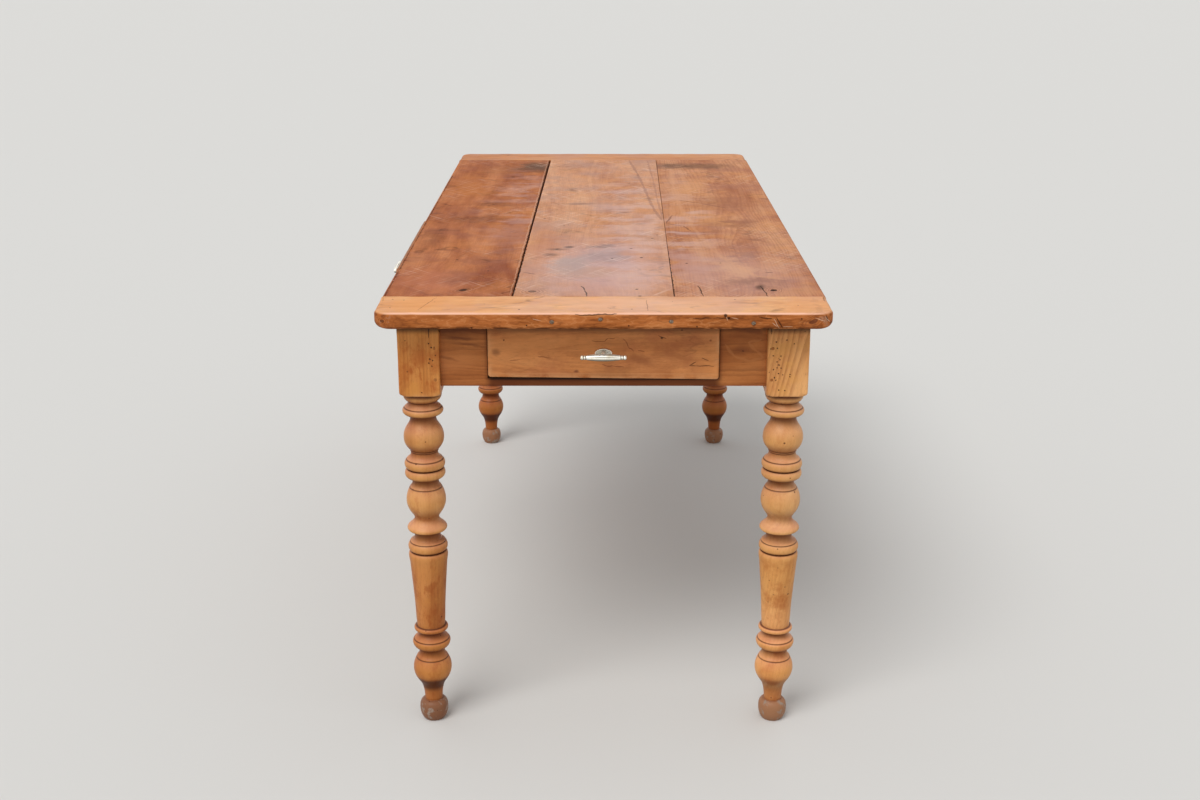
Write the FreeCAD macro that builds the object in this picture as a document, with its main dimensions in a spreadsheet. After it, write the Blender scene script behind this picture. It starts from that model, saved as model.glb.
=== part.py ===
import FreeCAD, Part
import math
import os
import re

import Sketcher
from FreeCAD import Placement, Rotation, Vector

# A farmhouse kitchen table: three top boards between breadboard ends, four turned legs, four tenoned
# aprons, one drawer in the near end and one in the left long side.
# Millimetres. X runs across the table to the right, Y along it to the far end, Z up.
# The origin is on the floor, under the middle of the top.

doc = FreeCAD.newDocument("KitchenTable")
subparts = []

# ---------------------------------------------------------------------------------------------------
# Driving dimensions: alias, value, meaning
# ---------------------------------------------------------------------------------------------------
SIZES = (
    ("tableHeight", 760, "floor to the upper face of the top"),
    ("topLength", 1615, "whole length of the top"),
    ("topWidth", 725, "whole width of the top"),
    ("topThickness", 28, "thickness of boards and breadboard ends"),
    ("breadboardWidth", 106, "width of each breadboard end"),
    ("cornerRadius", 22, "plan radius of the top's corners"),
    ("upperArris", 4.5, "rounding of the top's upper edge"),
    ("lowerArris", 7, "rounding of the top's lower edge"),
    ("leftJointFront", 148.5, "middle to the left board joint, near end"),
    ("leftJointRear", 132.5, "middle to the left board joint, far end"),
    ("rightJointFront", 115, "middle to the right board joint, near end"),
    ("rightJointRear", 134, "middle to the right board joint, far end"),
    ("leftGapFront", 1.6, "shrinkage gap of the left joint, near end"),
    ("leftGapRear", 4, "shrinkage gap of the left joint, far end"),
    ("rightGapFront", 0.7, "shrinkage gap of the right joint, near end"),
    ("rightGapRear", 1.2, "shrinkage gap of the right joint, far end"),
    ("tongueThickness", 9, "tongues between boards and into the breadboards"),
    ("endTongueLength", 14, "how far the boards enter a breadboard"),
    ("endTongueInset", 26, "end tongue to the side edge of the top"),
    ("edgeTongueLength", 8, "how far a board's edge tongue passes the joint"),
    ("joineryFit", 0.1, "clearance round tongues, tenons, pegs, nails and screws"),
    ("overrun", 1, "how far a cut runs past the face it starts from"),
    ("nailHeadDiameter", 7, "heads of the nails in the end edges of the top"),
    ("nailHeadThickness", 2, "thickness of those heads"),
    ("nailShankDiameter", 4, "shanks of those nails"),
    ("nailLength", 140, "whole length of those nails"),
    ("legBlock", 68, "square section of the leg blocks"),
    ("blockDrop", 16, "apron's lower edge to the lower end of the leg block"),
    ("blockArris", 2, "rounding of the block's edges"),
    ("ovoloStep", 0.3, "ovolo's upper edge inside that rounding"),
    ("endOverhang", 51.5, "top's end to the leg blocks"),
    ("sideOverhang", 30, "top's side to the leg blocks"),
    ("apronHeight", 112, "height of the aprons"),
    ("apronThickness", 24, "thickness of the aprons"),
    ("apronSetback", 12, "leg face to apron face"),
    ("apronArris", 1.5, "rounding of the apron's lower edges"),
    ("tenonThickness", 9, "thickness of the apron tenons"),
    ("tenonWeb", 9.5, "wood left between the two tenons inside a leg"),
    ("tenonLowerShoulder", 3, "apron's lower edge to its tenon"),
    ("tenonUpperShoulder", 16, "apron's upper edge to its tenon"),
    ("pegDiameter", 6, "pegs through the tenons"),
    ("pegShort", 22, "end of a peg to the block's far face"),
    ("pegInset", 8, "peg to the block's inner edge"),
    ("pegLower", 14, "lower peg above the apron's lower edge"),
    ("pegUpper", 67, "upper peg above the apron's lower edge"),
    ("railHeight", 13.5, "apron wood left under each drawer"),
    ("crossRailThickness", 22, "rails between the long aprons"),
    ("crossTenonLength", 10, "stub tenons of those rails"),
    ("crossTenonLift", 10, "runner to the lower side of those stub tenons"),
    ("crossTenonHeight", 60, "height of those stub tenons"),
    ("runnerThickness", 13, "height of the drawer runners"),
    ("runnerBearing", 18, "width of runner under a drawer side"),
    ("guideWidth", 14, "strips beside the end drawer"),
    ("guideHeight", 20, "height of those strips above the runners"),
    ("guideGap", 1, "end drawer to each guide strip"),
    ("stopWidth", 16, "width of the drawer stops"),
    ("stopHeight", 18, "height of the drawer stops"),
    ("stopLength", 30, "length of the side drawer's stops"),
    ("buttonWidth", 32, "wooden buttons that hold the top"),
    ("buttonLength", 38, "length of a button's body"),
    ("buttonThickness", 18, "height of a button's body"),
    ("buttonTongue", 8, "length and height of a button's tongue"),
    ("buttonPlay", 1, "slot beside and behind a button's tongue"),
    ("screwDiameter", 4, "shanks of the button screws"),
    ("screwHeadDiameter", 8, "heads of the button screws"),
    ("screwHeadThickness", 2.5, "thickness of those heads"),
    ("screwBite", 14, "screw length inside the top"),
    ("endDrawerWidth", 374, "front of the end drawer, across"),
    ("endDrawerDepth", 330, "end drawer from its face to its back"),
    ("endDrawerTilt", 4, "rise of that front's lower left corner over the right one"),
    ("sideDrawerWidth", 450, "front of the side drawer, along the table"),
    ("sideDrawerDepth", 420, "side drawer from its face to its back"),
    ("sideDrawerTilt", 1, "rise of that front's lower left corner over the right one"),
    ("drawerRoom", 33, "back of the end drawer to the front cross rail"),
    ("sideDrawerAjar", 50, "how far the side drawer stands open at rest"),
    ("frontThickness", 22, "thickness of the drawer fronts"),
    ("frontProud", 12, "closed drawer front ahead of the apron face"),
    ("frontSideGap", 1.5, "drawer front to each side of its opening"),
    ("frontTopGap", 3, "drawer front to the underside of the top"),
    ("frontLowerGap", 0.8, "drawer front to the rail below it"),
    ("frontArris", 4, "rounding round the drawer fronts"),
    ("runningGap", 0.3, "drawer to runner, and closed drawer to stop"),
    ("boxInset", 0.8, "drawer side in from the end of its front"),
    ("sideThickness", 12, "drawer sides"),
    ("sideTopGap", 12.2, "drawer sides to the underside of the top"),
    ("backThickness", 12, "drawer backs"),
    ("backDrop", 6, "drawer back below the top of the sides"),
    ("bottomThickness", 8, "drawer bottoms"),
    ("bottomGroove", 5, "groove depth for the drawer bottoms"),
    ("bottomLift", 10, "drawer side's lower edge to the bottom board"),
    ("tailLength", 14, "dovetails of the sides into the front"),
    ("tailRoot", 16, "dovetail height at the shoulder"),
    ("tailTip", 23, "dovetail height at the tip"),
    ("handleHeight", 46.5, "handle above the runner"),
    ("handleStandoff", 28, "drawer face to the middle of the bar"),
    ("barLength", 74, "whole length of the handle bar"),
    ("barrelLength", 54, "length of the bar's swelling middle"),
    ("barrelDiameter", 12, "bar at its thickest"),
    ("barEndDiameter", 7.8, "bar where the swelling ends"),
    ("rosetteWidth", 28, "oval backplate, across"),
    ("rosetteHeight", 20, "oval backplate, up"),
    ("rosetteThickness", 3.6, "backplate with its raised middle"),
    ("rosetteRim", 3.4, "width of the rim round that middle"),
    ("rosetteRimThickness", 2.2, "thickness of that rim"),
    ("rosetteRimArris", 1.1, "rounding of that rim"),
    ("postDiameter", 7.2, "stem between backplate and bar"),
    ("postFootDiameter", 12, "foot of the stem on the backplate"),
    ("postFootThickness", 1.2, "straight edge of that foot"),
    ("postFlare", 3.8, "length over which the stem widens to its foot"),
    ("tailDiameter", 5, "threaded tail through the drawer front"),
    ("tailPastNut", 1.5, "how far that tail passes the nut"),
    ("barTenonDiameter", 4.4, "end of the stem inside the bar"),
    ("barTenonLength", 4, "how far the stem enters the bar"),
    ("nutWidth", 12, "square nut inside the drawer front"),
    ("nutThickness", 4, "thickness of that nut"),
)

# Places worked out from the driving dimensions: alias, formula, meaning
PLACES = (
    ("underTop", "tableHeight - topThickness", "underside of the top"),
    ("blockLength", "apronHeight + blockDrop", "height of the leg blocks"),
    ("turningLength", "underTop - blockLength", "height of the turned part of a leg"),
    ("legX", "topWidth / 2 - sideOverhang - legBlock / 2", "leg axis from the middle, across"),
    ("legY", "topLength / 2 - endOverhang - legBlock / 2", "leg axis from the middle, along"),
    ("apronBottom", "underTop - apronHeight", "lower edge of the aprons"),
    ("tenonLength", "legBlock - apronSetback - (apronThickness + tenonThickness) / 2 - tenonWeb",
     "length of the apron tenons"),
    ("pegDepth", "legBlock - pegShort", "length of the pegs"),
    ("longApronFace", "topWidth / 2 - sideOverhang - apronSetback", "outer face of the long aprons"),
    ("endApronFace", "topLength / 2 - endOverhang - apronSetback", "outer face of the end aprons"),
    ("longApronLength", "2 * legY - legBlock", "long apron between its legs"),
    ("endApronLength", "2 * legX - legBlock", "end apron between its legs"),
    ("runnerTop", "apronBottom + railHeight", "upper face of rails and runners"),
    ("boardEnd", "topLength / 2 - breadboardWidth", "shoulder of the boards at a breadboard"),
    ("endOpening", "endDrawerWidth + 2 * frontSideGap", "end drawer's opening"),
    ("sideOpening", "sideDrawerWidth + 2 * frontSideGap", "side drawer's opening"),
    ("endBoxHalf", "endDrawerWidth / 2 - boxInset", "outer face of the end drawer's sides"),
    ("sideBoxHalf", "sideDrawerWidth / 2 - boxInset", "outer face of the side drawer's sides"),
    ("endFaceY", "-endApronFace - frontProud", "face of the closed end drawer"),
    ("sideFaceX", "-longApronFace - frontProud", "face of the closed side drawer"),
    ("frontRailBack", "endFaceY + endDrawerDepth + drawerRoom", "front cross rail's face on the end drawer"),
    ("frontRailFace", "frontRailBack + crossRailThickness", "that rail's face on the side drawer"),
    ("rearRailFace", "frontRailFace + sideOpening", "rear cross rail's face on the side drawer"),
    ("rearRailBack", "rearRailFace + crossRailThickness", "rear cross rail's far face"),
    ("sideDrawerY", "frontRailFace + sideOpening / 2", "middle of the side drawer, along"),
    ("frontTop", "underTop - runnerTop - frontTopGap", "drawer front's upper edge above the runner"),
    ("sideTop", "underTop - runnerTop - sideTopGap", "drawer side's upper edge above the runner"),
    ("bottomTop", "runningGap + bottomLift + bottomThickness", "drawer bottom's upper face"),
    ("lowerTail", "bottomTop + (sideTop - bottomTop) / 4", "middle of the lower dovetail"),
    ("upperTail", "sideTop - (sideTop - bottomTop) / 4", "middle of the upper dovetail"),
    ("screwLength", "screwHeadThickness + buttonThickness + screwBite", "whole button screw"),
)

# Nails in the end edge of the top: across from the middle, up from mid thickness
NAILS = ((-81, -1), (-5, 3), (106, -0.5), (235, -3))

# Buttons along each long apron: the stretch they stand in, and their share of it from its near end
NEAR_STRETCH = ("-longApronLength / 2", "frontRailBack")
FAR_STRETCH = ("rearRailBack", "longApronLength / 2")
BUTTONS = ((NEAR_STRETCH, 0.37), (FAR_STRETCH, 0.18), (FAR_STRETCH, 0.5), (FAR_STRETCH, 0.84))

# The turning from the block down to the floor, drawn for a block of 68 and a turned length of 604.
# Two numbers are a straight line to that radius and height; four are an arc by way of the first pair.
TURNING_BLOCK = 68
TURNING_LENGTH = 604
TURNING = (
    (31.0, 594.5, 25.8, 586.8), (23.4, 585.4), (23.0, 584.2),                  # ovolo under the block
    (25.2, 580.6, 29.4, 578.3), (29.3, 577.3), (30.8, 577.0),                  # coved shoulder and quirk
    (33.4, 570.0, 27.5, 562.0), (22.4, 559.4), (21.2, 557.6), (21.0, 552.0),   # bead and neck
    (21.2, 550.2, 21.8, 549.0), (33.2, 524.0, 22.6, 499.7),                    # ball
    (23.6, 499.3), (23.6, 497.0), (21.0, 496.4),                               # fillet below the ball
    (23.0, 490.4, 28.4, 487.4), (28.2, 486.4), (29.7, 486.2),                  # coved shoulder and quirk
    (33.8, 478.4, 28.8, 469.6), (27.0, 468.4), (28.8, 467.4),                  # upper of two beads, groove
    (33.7, 459.6, 27.2, 450.8), (21.2, 448.6), (20.6, 447.2),                  # lower bead
    (22.0, 441.6, 26.6, 437.6), (26.5, 436.8), (27.9, 436.4),                  # shoulder of the vase
    (33.2, 416.6, 28.0, 395.6), (23.0, 387.8, 20.9, 379.6),                    # vase and its neck
    (24.8, 373.2, 32.4, 366.2), (33.5, 361.8, 30.6, 354.8),                    # flared ring
    (27.8, 351.2, 23.6, 349.0), (22.8, 347.0),                                 # under the ring
    (24.4, 342.6, 28.8, 340.3), (28.6, 339.3), (30.1, 339.0),                  # coved shoulder and quirk
    (33.8, 329.4, 29.9, 319.4), (28.2, 318.0), (29.8, 316.8),                  # bead and tight groove
    (33.0, 314.0, 33.2, 309.4), (32.2, 305.4, 31.6, 300.0),                    # head of the shaft
    (27.1, 241.0, 23.6, 183.0),                                                # tapering shaft
    (26.8, 180.8), (28.4, 176.6, 27.0, 172.6), (22.6, 170.4), (22.0, 168.4),   # thin ring
    (23.6, 163.6, 28.6, 160.2), (28.4, 159.2), (29.9, 158.8),                  # coved shoulder and quirk
    (33.5, 149.6, 28.4, 139.6), (21.8, 135.2), (20.8, 133.0), (20.8, 129.6),   # bead and neck
    (22.4, 123.4, 27.6, 119.6), (27.4, 118.8), (28.9, 118.3),                  # shoulder of the low ball
    (33.1, 102.0, 27.2, 79.6), (21.8, 72.6, 19.0, 63.0),                       # low ball
    (17.2, 52.0, 15.4, 39.6), (15.0, 37.4), (16.6, 36.2),                      # tapering ankle
    (22.0, 31.0, 23.8, 21.0), (22.4, 9.0, 17.6, 0),                            # foot
)

# Half of the handle bar's tip, drawn for a tip of 10 and a radius of 3.9 at the end of the barrel:
# a waist, a small collar, the waist again and a ball with a flat end
TIP_LENGTH = 10
TIP_RADIUS = 3.9
TIP = (
    (0.5, 2.65), (1.4, 2.65), (2.6, 3.9, 4.0, 2.65), (4.6, 2.65), (7.2, 3.9, 10.0, 1.6), (10.0, 0),
)

QUARTER = 90


# ---------------------------------------------------------------------------------------------------
# Sheets and expressions
# ---------------------------------------------------------------------------------------------------
home = {}


def expression(text, own_sheet=None):
    """Put the sheet's name in front of every alias in the text."""

    def full_name(word):
        sheet = home.get(word[0])
        return word[0] if sheet in (None, own_sheet) else f"{sheet}.{word[0]}"

    return re.sub(r"[A-Za-z]\w*", full_name, str(text))


def fill_sheet(name, rows, formulas=False):
    """A spreadsheet with one row for each alias: its meaning, then its number or formula."""
    sheet = doc.addObject("Spreadsheet::Sheet", name)
    for alias, _, _ in rows:
        home[alias] = name
    for row, (alias, content, meaning) in enumerate(rows, start=1):
        sheet.set(f"A{row}", meaning)
        sheet.set(f"B{row}", "=" + expression(content, name) if formulas else str(content))
        sheet.setAlias(f"B{row}", alias)
    doc.recompute()
    return sheet


sizes = fill_sheet("Sizes", SIZES)
places = fill_sheet("Places", PLACES, formulas=True)


def value(text):
    """The number that an expression has now."""
    return float(places.evalExpression(expression(text)))


def bind(item, **properties):
    """Bind properties to expressions; x, y and z stand for the placement's base."""
    for key, text in properties.items():
        path = f"Placement.Base.{key}" if key in "xyz" else key
        item.setExpression(path, expression(text))


# ---------------------------------------------------------------------------------------------------
# Building blocks
# ---------------------------------------------------------------------------------------------------
def add(kind, name):
    item = doc.addObject(kind, name)
    item.Label = name
    return item


def block(name, across, along, up):
    """A box between low and high limits on each axis."""
    item = add("Part::Box", name)
    bind(item, x=across[0], y=along[0], z=up[0])
    for key, (low, high) in zip(("Length", "Width", "Height"), (across, along, up)):
        bind(item, **{key: f"{high} - ({low})"})
    return item


DIRECTIONS = {
    "+z": Rotation(),
    "+x": Rotation(Vector(0, 1, 0), QUARTER),
    "+y": Rotation(Vector(1, 0, 0), -QUARTER),
    "-y": Rotation(Vector(1, 0, 0), QUARTER),
}


def rod(name, start, direction, diameter, length):
    """A cylinder that starts at a point and runs along an axis."""
    item = add("Part::Cylinder", name)
    item.Placement = Placement(Vector(), DIRECTIONS[direction])
    bind(item, x=start[0], y=start[1], z=start[2], Radius=f"({diameter}) / 2", Height=length)
    return item


def bore(name, start, direction, diameter, length):
    """The hole for a rod of this diameter, with the joinery's clearance round it."""
    return rod(name, start, direction, f"{diameter} + 2 * joineryFit", length)


def join(name, pieces):
    item = add("Part::MultiFuse", name)
    item.Shapes = pieces
    return item


def cut(name, base, tools):
    item = add("Part::Cut", name)
    item.Base = base
    item.Tool = tools[0] if len(tools) == 1 else join(f"{name}_tools", tools)
    return item


def group(name, pieces):
    item = add("Part::Compound", name)
    item.Links = pieces
    return item


def mirrored(side, low, high):
    """Limits on the right side (1) or, mirrored, on the left (-1)."""
    return (low, high) if side > 0 else (f"-({high})", f"-({low})")


def turned_place(frame, across, along):
    """Where a point of a frame turned by quarter turns lies in the table's frame."""
    x, y, turn = frame
    a, b = f"({across})", f"({along})"
    return {
        0: (f"{x} + {a}", f"{y} + {b}"),
        QUARTER: (f"{x} - {b}", f"{y} + {a}"),
        2 * QUARTER: (f"{x} - {a}", f"{y} - {b}"),
        -QUARTER: (f"{x} + {b}", f"{y} - {a}"),
    }[turn]


def settle(item, name, frame=("0", "0", 0), up="0", across="0", along="0"):
    """Name a finished sub-part and put it in its place."""
    item.Label = name
    item.Placement = Placement(Vector(), Rotation(Vector(0, 0, 1), frame[2]))
    x, y = turned_place(frame, across, along)
    bind(item, x=x, y=y, z=up)
    subparts.append(item)
    return item


# ---------------------------------------------------------------------------------------------------
# Bodies with sketches
# ---------------------------------------------------------------------------------------------------
def origin_plane(body, role):
    return next(item for item in body.Origin.OriginFeatures if item.Role == role)


def new_sketch(body, name, plane):
    sketch = body.newObject("Sketcher::SketchObject", name)
    sketch.AttachmentSupport = (origin_plane(body, plane), [""])
    sketch.MapMode = "FlatFace"
    return sketch


def polygon(body, name, plane, corners):
    """A closed outline whose corners are bound to expressions."""
    sketch = new_sketch(body, name, plane)
    points = [Vector(value(across), value(up), 0) for across, up in corners]
    count = len(points)
    for index, point in enumerate(points):
        sketch.addGeometry(Part.LineSegment(point, points[(index + 1) % count]))
    for index in range(count):
        sketch.addConstraint(Sketcher.Constraint("Coincident", index, 2, (index + 1) % count, 1))
    for index, (corner, point) in enumerate(zip(corners, points)):
        for kind, text, number in zip(("DistanceX", "DistanceY"), corner, point):
            datum = sketch.addConstraint(Sketcher.Constraint(kind, -1, 1, index, 1, number))
            sketch.setExpression(f"Constraints[{datum}]", expression(text))
    return sketch


def pad(body, name, sketch, length, backwards=False):
    item = body.newObject("PartDesign::Pad", name)
    item.Profile = sketch
    item.Reversed = backwards
    bind(item, Length=length)
    return item


def ease(body, name, radius, wanted):
    """Round the edges of the body's tip that are wanted."""
    doc.recompute()
    base = body.Tip
    edges = [f"Edge{n}" for n, edge in enumerate(base.Shape.Edges, start=1) if wanted(edge)]
    item = body.newObject("PartDesign::Fillet", name)
    item.Base = (base, edges)
    bind(item, Radius=radius)
    return item


def lies_at(edge, axis, number):
    """Whether both ends of an edge have this coordinate."""
    return all(abs(getattr(vertex.Point, axis) - number) < 0.01 for vertex in edge.Vertexes)


def outline(body, name, plane, start, steps):
    """A closed outline from a start point through straight and curved steps."""
    sketch = new_sketch(body, name, plane)
    here = first = Vector(*start, 0)
    for step in steps:
        end = Vector(*step[-2:], 0)
        if len(step) == 2:
            sketch.addGeometry(Part.LineSegment(here, end))
        else:
            sketch.addGeometry(Part.Arc(here, Vector(*step[:2], 0), end))
        here = end
    sketch.addGeometry(Part.LineSegment(here, first))
    return sketch


def scaled(steps, across, up):
    """Outline steps with their first and second coordinates scaled."""
    return [tuple(n * (up if index % 2 else across) for index, n in enumerate(step)) for step in steps]


def revolve(body, name, sketch, axis):
    item = body.newObject("PartDesign::Revolution", name)
    item.Profile = sketch
    item.ReferenceAxis = (sketch, [axis])
    item.Angle = 360
    return item


def slab(name, corners, thickness):
    """A body padded up from a four-cornered plan."""
    body = add("PartDesign::Body", name)
    pad(body, f"{name}_pad", polygon(body, f"{name}_plan", "XY_Plane", corners), thickness)
    return body


# ---------------------------------------------------------------------------------------------------
# Legs
# ---------------------------------------------------------------------------------------------------
LEGS = {
    "leg_front_left": ("-legX", "-legY", 0),
    "leg_front_right": ("legX", "-legY", QUARTER),
    "leg_rear_right": ("legX", "legY", 2 * QUARTER),
    "leg_rear_left": ("-legX", "legY", -QUARTER),
}
TENON_HEIGHTS = ("apronBottom + tenonLowerShoulder", "underTop - tenonUpperShoulder")


def turned_leg(name):
    """The leg's blank: a turned length with a square block on its head."""
    body = add("PartDesign::Body", f"{name}_blank")
    wide = value("legBlock") / TURNING_BLOCK
    tall = value("turningLength") / TURNING_LENGTH
    level = value("turningLength")
    steps = [(value("legBlock / 2 - blockArris - ovoloStep"), level)]
    steps += scaled(TURNING, wide, tall) + [(0, 0)]
    profile = outline(body, f"{name}_outline", "XZ_Plane", (0, level), steps)
    revolve(body, f"{name}_turning", profile, "V_Axis")
    half = "legBlock / 2"
    square = ((f"-{half}", f"-{half}"), (half, f"-{half}"), (half, half), (f"-{half}", half))
    plan = polygon(body, f"{name}_square", "XY_Plane", square)
    bind(plan, **{"AttachmentOffset.Base.z": "turningLength"})
    pad(body, f"{name}_block", plan, "blockLength")
    corner = value(half)

    def is_block_edge(edge):
        sides = sum(lies_at(edge, axis, sign * corner) for axis in "xy" for sign in (-1, 1))
        return sides == 2 or (sides == 1 and lies_at(edge, "z", level))

    ease(body, f"{name}_eased", "blockArris", is_block_edge)
    return body


def leg_mortises(name):
    """Two mortises and four peg holes, in the leg's own frame with its outer faces at -x and -y."""
    tenon_low = "-legBlock / 2 + apronSetback + (apronThickness - tenonThickness) / 2"
    cheeks = (f"{tenon_low} - joineryFit", f"{tenon_low} + tenonThickness + joineryFit")
    reach = ("legBlock / 2 - tenonLength - joineryFit", "legBlock / 2 + overrun")
    up = (f"{TENON_HEIGHTS[0]} - joineryFit", f"{TENON_HEIGHTS[1]} + joineryFit")
    tools = [
        block(f"{name}_end_mortise", reach, cheeks, up),
        block(f"{name}_long_mortise", cheeks, reach, up),
    ]
    for kind, start, direction in peg_starts():
        tools.append(bore(f"{name}_{kind}", start, direction, "pegDiameter", "pegDepth"))
    return tools


def peg_starts():
    """Name, start on the leg's outer face and direction of each peg, in the leg's own frame."""
    inner, outer = "legBlock / 2 - pegInset", "-legBlock / 2"
    starts = []
    for height in ("pegLower", "pegUpper"):
        level = f"apronBottom + {height}"
        starts.append((f"end_{height}", (inner, outer, level), "+y"))
        starts.append((f"long_{height}", (outer, inner, level), "+x"))
    return starts


def make_legs():
    pegs = []
    for name, frame in LEGS.items():
        settle(cut(name, turned_leg(name), leg_mortises(name)), name, frame)
        for kind, start, direction in peg_starts():
            peg = rod(f"{name}_{kind}_pin", start, direction, "pegDiameter", "pegDepth")
            turned = Rotation(Vector(0, 0, 1), frame[2]) * DIRECTIONS[direction]
            peg.Placement = Placement(Vector(), turned)
            x, y = turned_place(frame, *start[:2])
            bind(peg, x=x, y=y)
            pegs.append(peg)
    settle(group("tenon_pegs", pegs), "tenon_pegs")


# ---------------------------------------------------------------------------------------------------
# Aprons: own frame with x along the apron, outer face at y = 0, inner face at y = apronThickness
# ---------------------------------------------------------------------------------------------------
APRONS = {
    "apron_front": ("0", "-endApronFace", 0),
    "apron_right": ("longApronFace", "0", QUARTER),
    "apron_rear": ("0", "endApronFace", 2 * QUARTER),
    "apron_left": ("-longApronFace", "0", -QUARTER),
}
CROSS_RAILS = {
    "cross_rail_front": ("frontRailBack", "frontRailFace"),
    "cross_rail_rear": ("rearRailFace", "rearRailBack"),
}
CROSS_TENON_HEIGHTS = ("runnerTop + crossTenonLift", "runnerTop + crossTenonLift + crossTenonHeight")


def apron_blank(name, length):
    """A board with a tenon at each end and its lower edges rounded."""
    body = add("PartDesign::Body", f"{name}_blank")
    half = f"{length} / 2"
    ends = ((f"-{half}", "apronBottom"), (half, "apronBottom"), (half, "underTop"), (f"-{half}", "underTop"))
    pad(body, f"{name}_board", polygon(body, f"{name}_face", "XZ_Plane", ends), "apronThickness", True)
    bottom, shortest = value("apronBottom"), value(half)
    ease(body, f"{name}_eased", "apronArris",
         lambda edge: lies_at(edge, "z", bottom) and edge.Length > shortest)
    across = (f"-{half} - tenonLength", f"{half} + tenonLength")
    along = ("(apronThickness - tenonThickness) / 2", "(apronThickness + tenonThickness) / 2")
    return join(f"{name}_tenoned", [body, block(f"{name}_tenons", across, along, TENON_HEIGHTS)])


def apron_peg_holes(name, length):
    tools = []
    for side in (-1, 1):
        for height in ("pegLower", "pegUpper"):
            start = (f"{side} * ({length} / 2 + pegInset)", "-overrun", f"apronBottom + {height}")
            tools.append(bore(f"{name}_{height}_{side + 1}", start, "+y", "pegDiameter",
                              "apronThickness + 2 * overrun"))
    return tools


def drawer_opening(name, centre, width):
    """The opening above the rail, sawn out of the apron from its upper edge."""
    across = (f"{centre} - {width} / 2", f"{centre} + {width} / 2")
    return block(f"{name}_opening", across, ("-overrun", "apronThickness + overrun"),
                 ("runnerTop", "underTop + overrun"))


def button_middle(stretch, share):
    """Place of a button along the table."""
    low, high = stretch
    return f"({low} + {share} * ({high} - ({low})))"


def button_slots(name, sign):
    """Slots inside a long apron for the tongues of the buttons."""
    along = ("apronThickness - buttonTongue - buttonPlay", "apronThickness + overrun")
    up = ("underTop - buttonThickness - buttonPlay / 2",
          "underTop - buttonThickness + buttonTongue + joineryFit")
    tools = []
    for number, button in enumerate(BUTTONS):
        middle = f"{sign} * {button_middle(*button)}"
        across = (f"{middle} - buttonWidth / 2 - buttonPlay", f"{middle} + buttonWidth / 2 + buttonPlay")
        tools.append(block(f"{name}_slot_{number}", across, along, up))
    return tools


def cross_rail_sockets(name, sign):
    inset = "(crossRailThickness - tenonThickness) / 2"
    along = ("apronThickness - crossTenonLength - joineryFit", "apronThickness + overrun")
    up = (f"{CROSS_TENON_HEIGHTS[0]} - joineryFit", f"{CROSS_TENON_HEIGHTS[1]} + joineryFit")
    tools = []
    for rail, (low, high) in CROSS_RAILS.items():
        faces = sorted((f"{sign} * {low}", f"{sign} * {high}"), key=value)
        across = (f"{faces[0]} + {inset} - joineryFit", f"{faces[1]} - {inset} + joineryFit")
        tools.append(block(f"{name}_{rail}_socket", across, along, up))
    return tools


def make_aprons():
    for name, frame in APRONS.items():
        is_long = name in ("apron_left", "apron_right")
        length = "longApronLength" if is_long else "endApronLength"
        tools = apron_peg_holes(name, length)
        if name == "apron_front":
            tools.append(drawer_opening(name, "0", "endOpening"))
        if name == "apron_left":
            tools.append(drawer_opening(name, "-sideDrawerY", "sideOpening"))
        if is_long:
            sign = 1 if name == "apron_right" else -1
            tools += button_slots(name, sign) + cross_rail_sockets(name, sign)
        settle(cut(name, apron_blank(name, length), tools), name, frame)


# ---------------------------------------------------------------------------------------------------
# Top
# ---------------------------------------------------------------------------------------------------
MID_TOP = "underTop + topThickness / 2"
TONGUE_LEVEL = f"{MID_TOP} - tongueThickness / 2"


def plan_strip(left, right, end):
    """Plan corners of a strip whose long edges run from near to far places."""
    return ((left[0], f"-({end})"), (right[0], f"-({end})"), (right[1], end), (left[1], end))


def moved(line, step):
    """A joint line moved across by a step."""
    return tuple(f"{place} + {step}" for place in line)


def beside(line, side, gap):
    """The board edge on one side of a joint line, half the gap away."""
    return tuple(f"{place} + {side} * {gap}{end} / 2" for place, end in zip(line, ("Front", "Rear")))


LEFT_LINE = ("-leftJointFront", "-leftJointRear")
RIGHT_LINE = ("rightJointFront", "rightJointRear")


def board(name, edges, tongue_edges, groove_line=None, outer=None):
    """A top board with end tongues, and an edge tongue or a groove where it meets its neighbour."""
    core = slab(f"{name}_board", plan_strip(*edges, "boardEnd"), "topThickness")
    if outer:
        side = value(outer)
        for level, radius in ((value("topThickness"), "upperArris"), (0, "lowerArris")):
            ease(core, f"{name}_{radius}", radius,
                 lambda edge: lies_at(edge, "x", side) and lies_at(edge, "z", level))
    bind(core, z="underTop")
    tongue_end = "boardEnd + endTongueLength"
    sheet = slab(f"{name}_sheet", plan_strip(*tongue_edges, tongue_end), "tongueThickness")
    bind(sheet, z=TONGUE_LEVEL)
    tools = []
    if groove_line:
        open_side = moved(groove_line, "-2 * edgeTongueLength")
        closed_side = moved(groove_line, "edgeTongueLength + joineryFit")
        slot = slab(f"{name}_groove", plan_strip(open_side, closed_side, tongue_end),
                    "tongueThickness + 2 * joineryFit")
        bind(slot, z=f"{TONGUE_LEVEL} - joineryFit")
        tools.append(slot)
    return join(f"{name}_whole", [core, sheet]), tools


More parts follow.
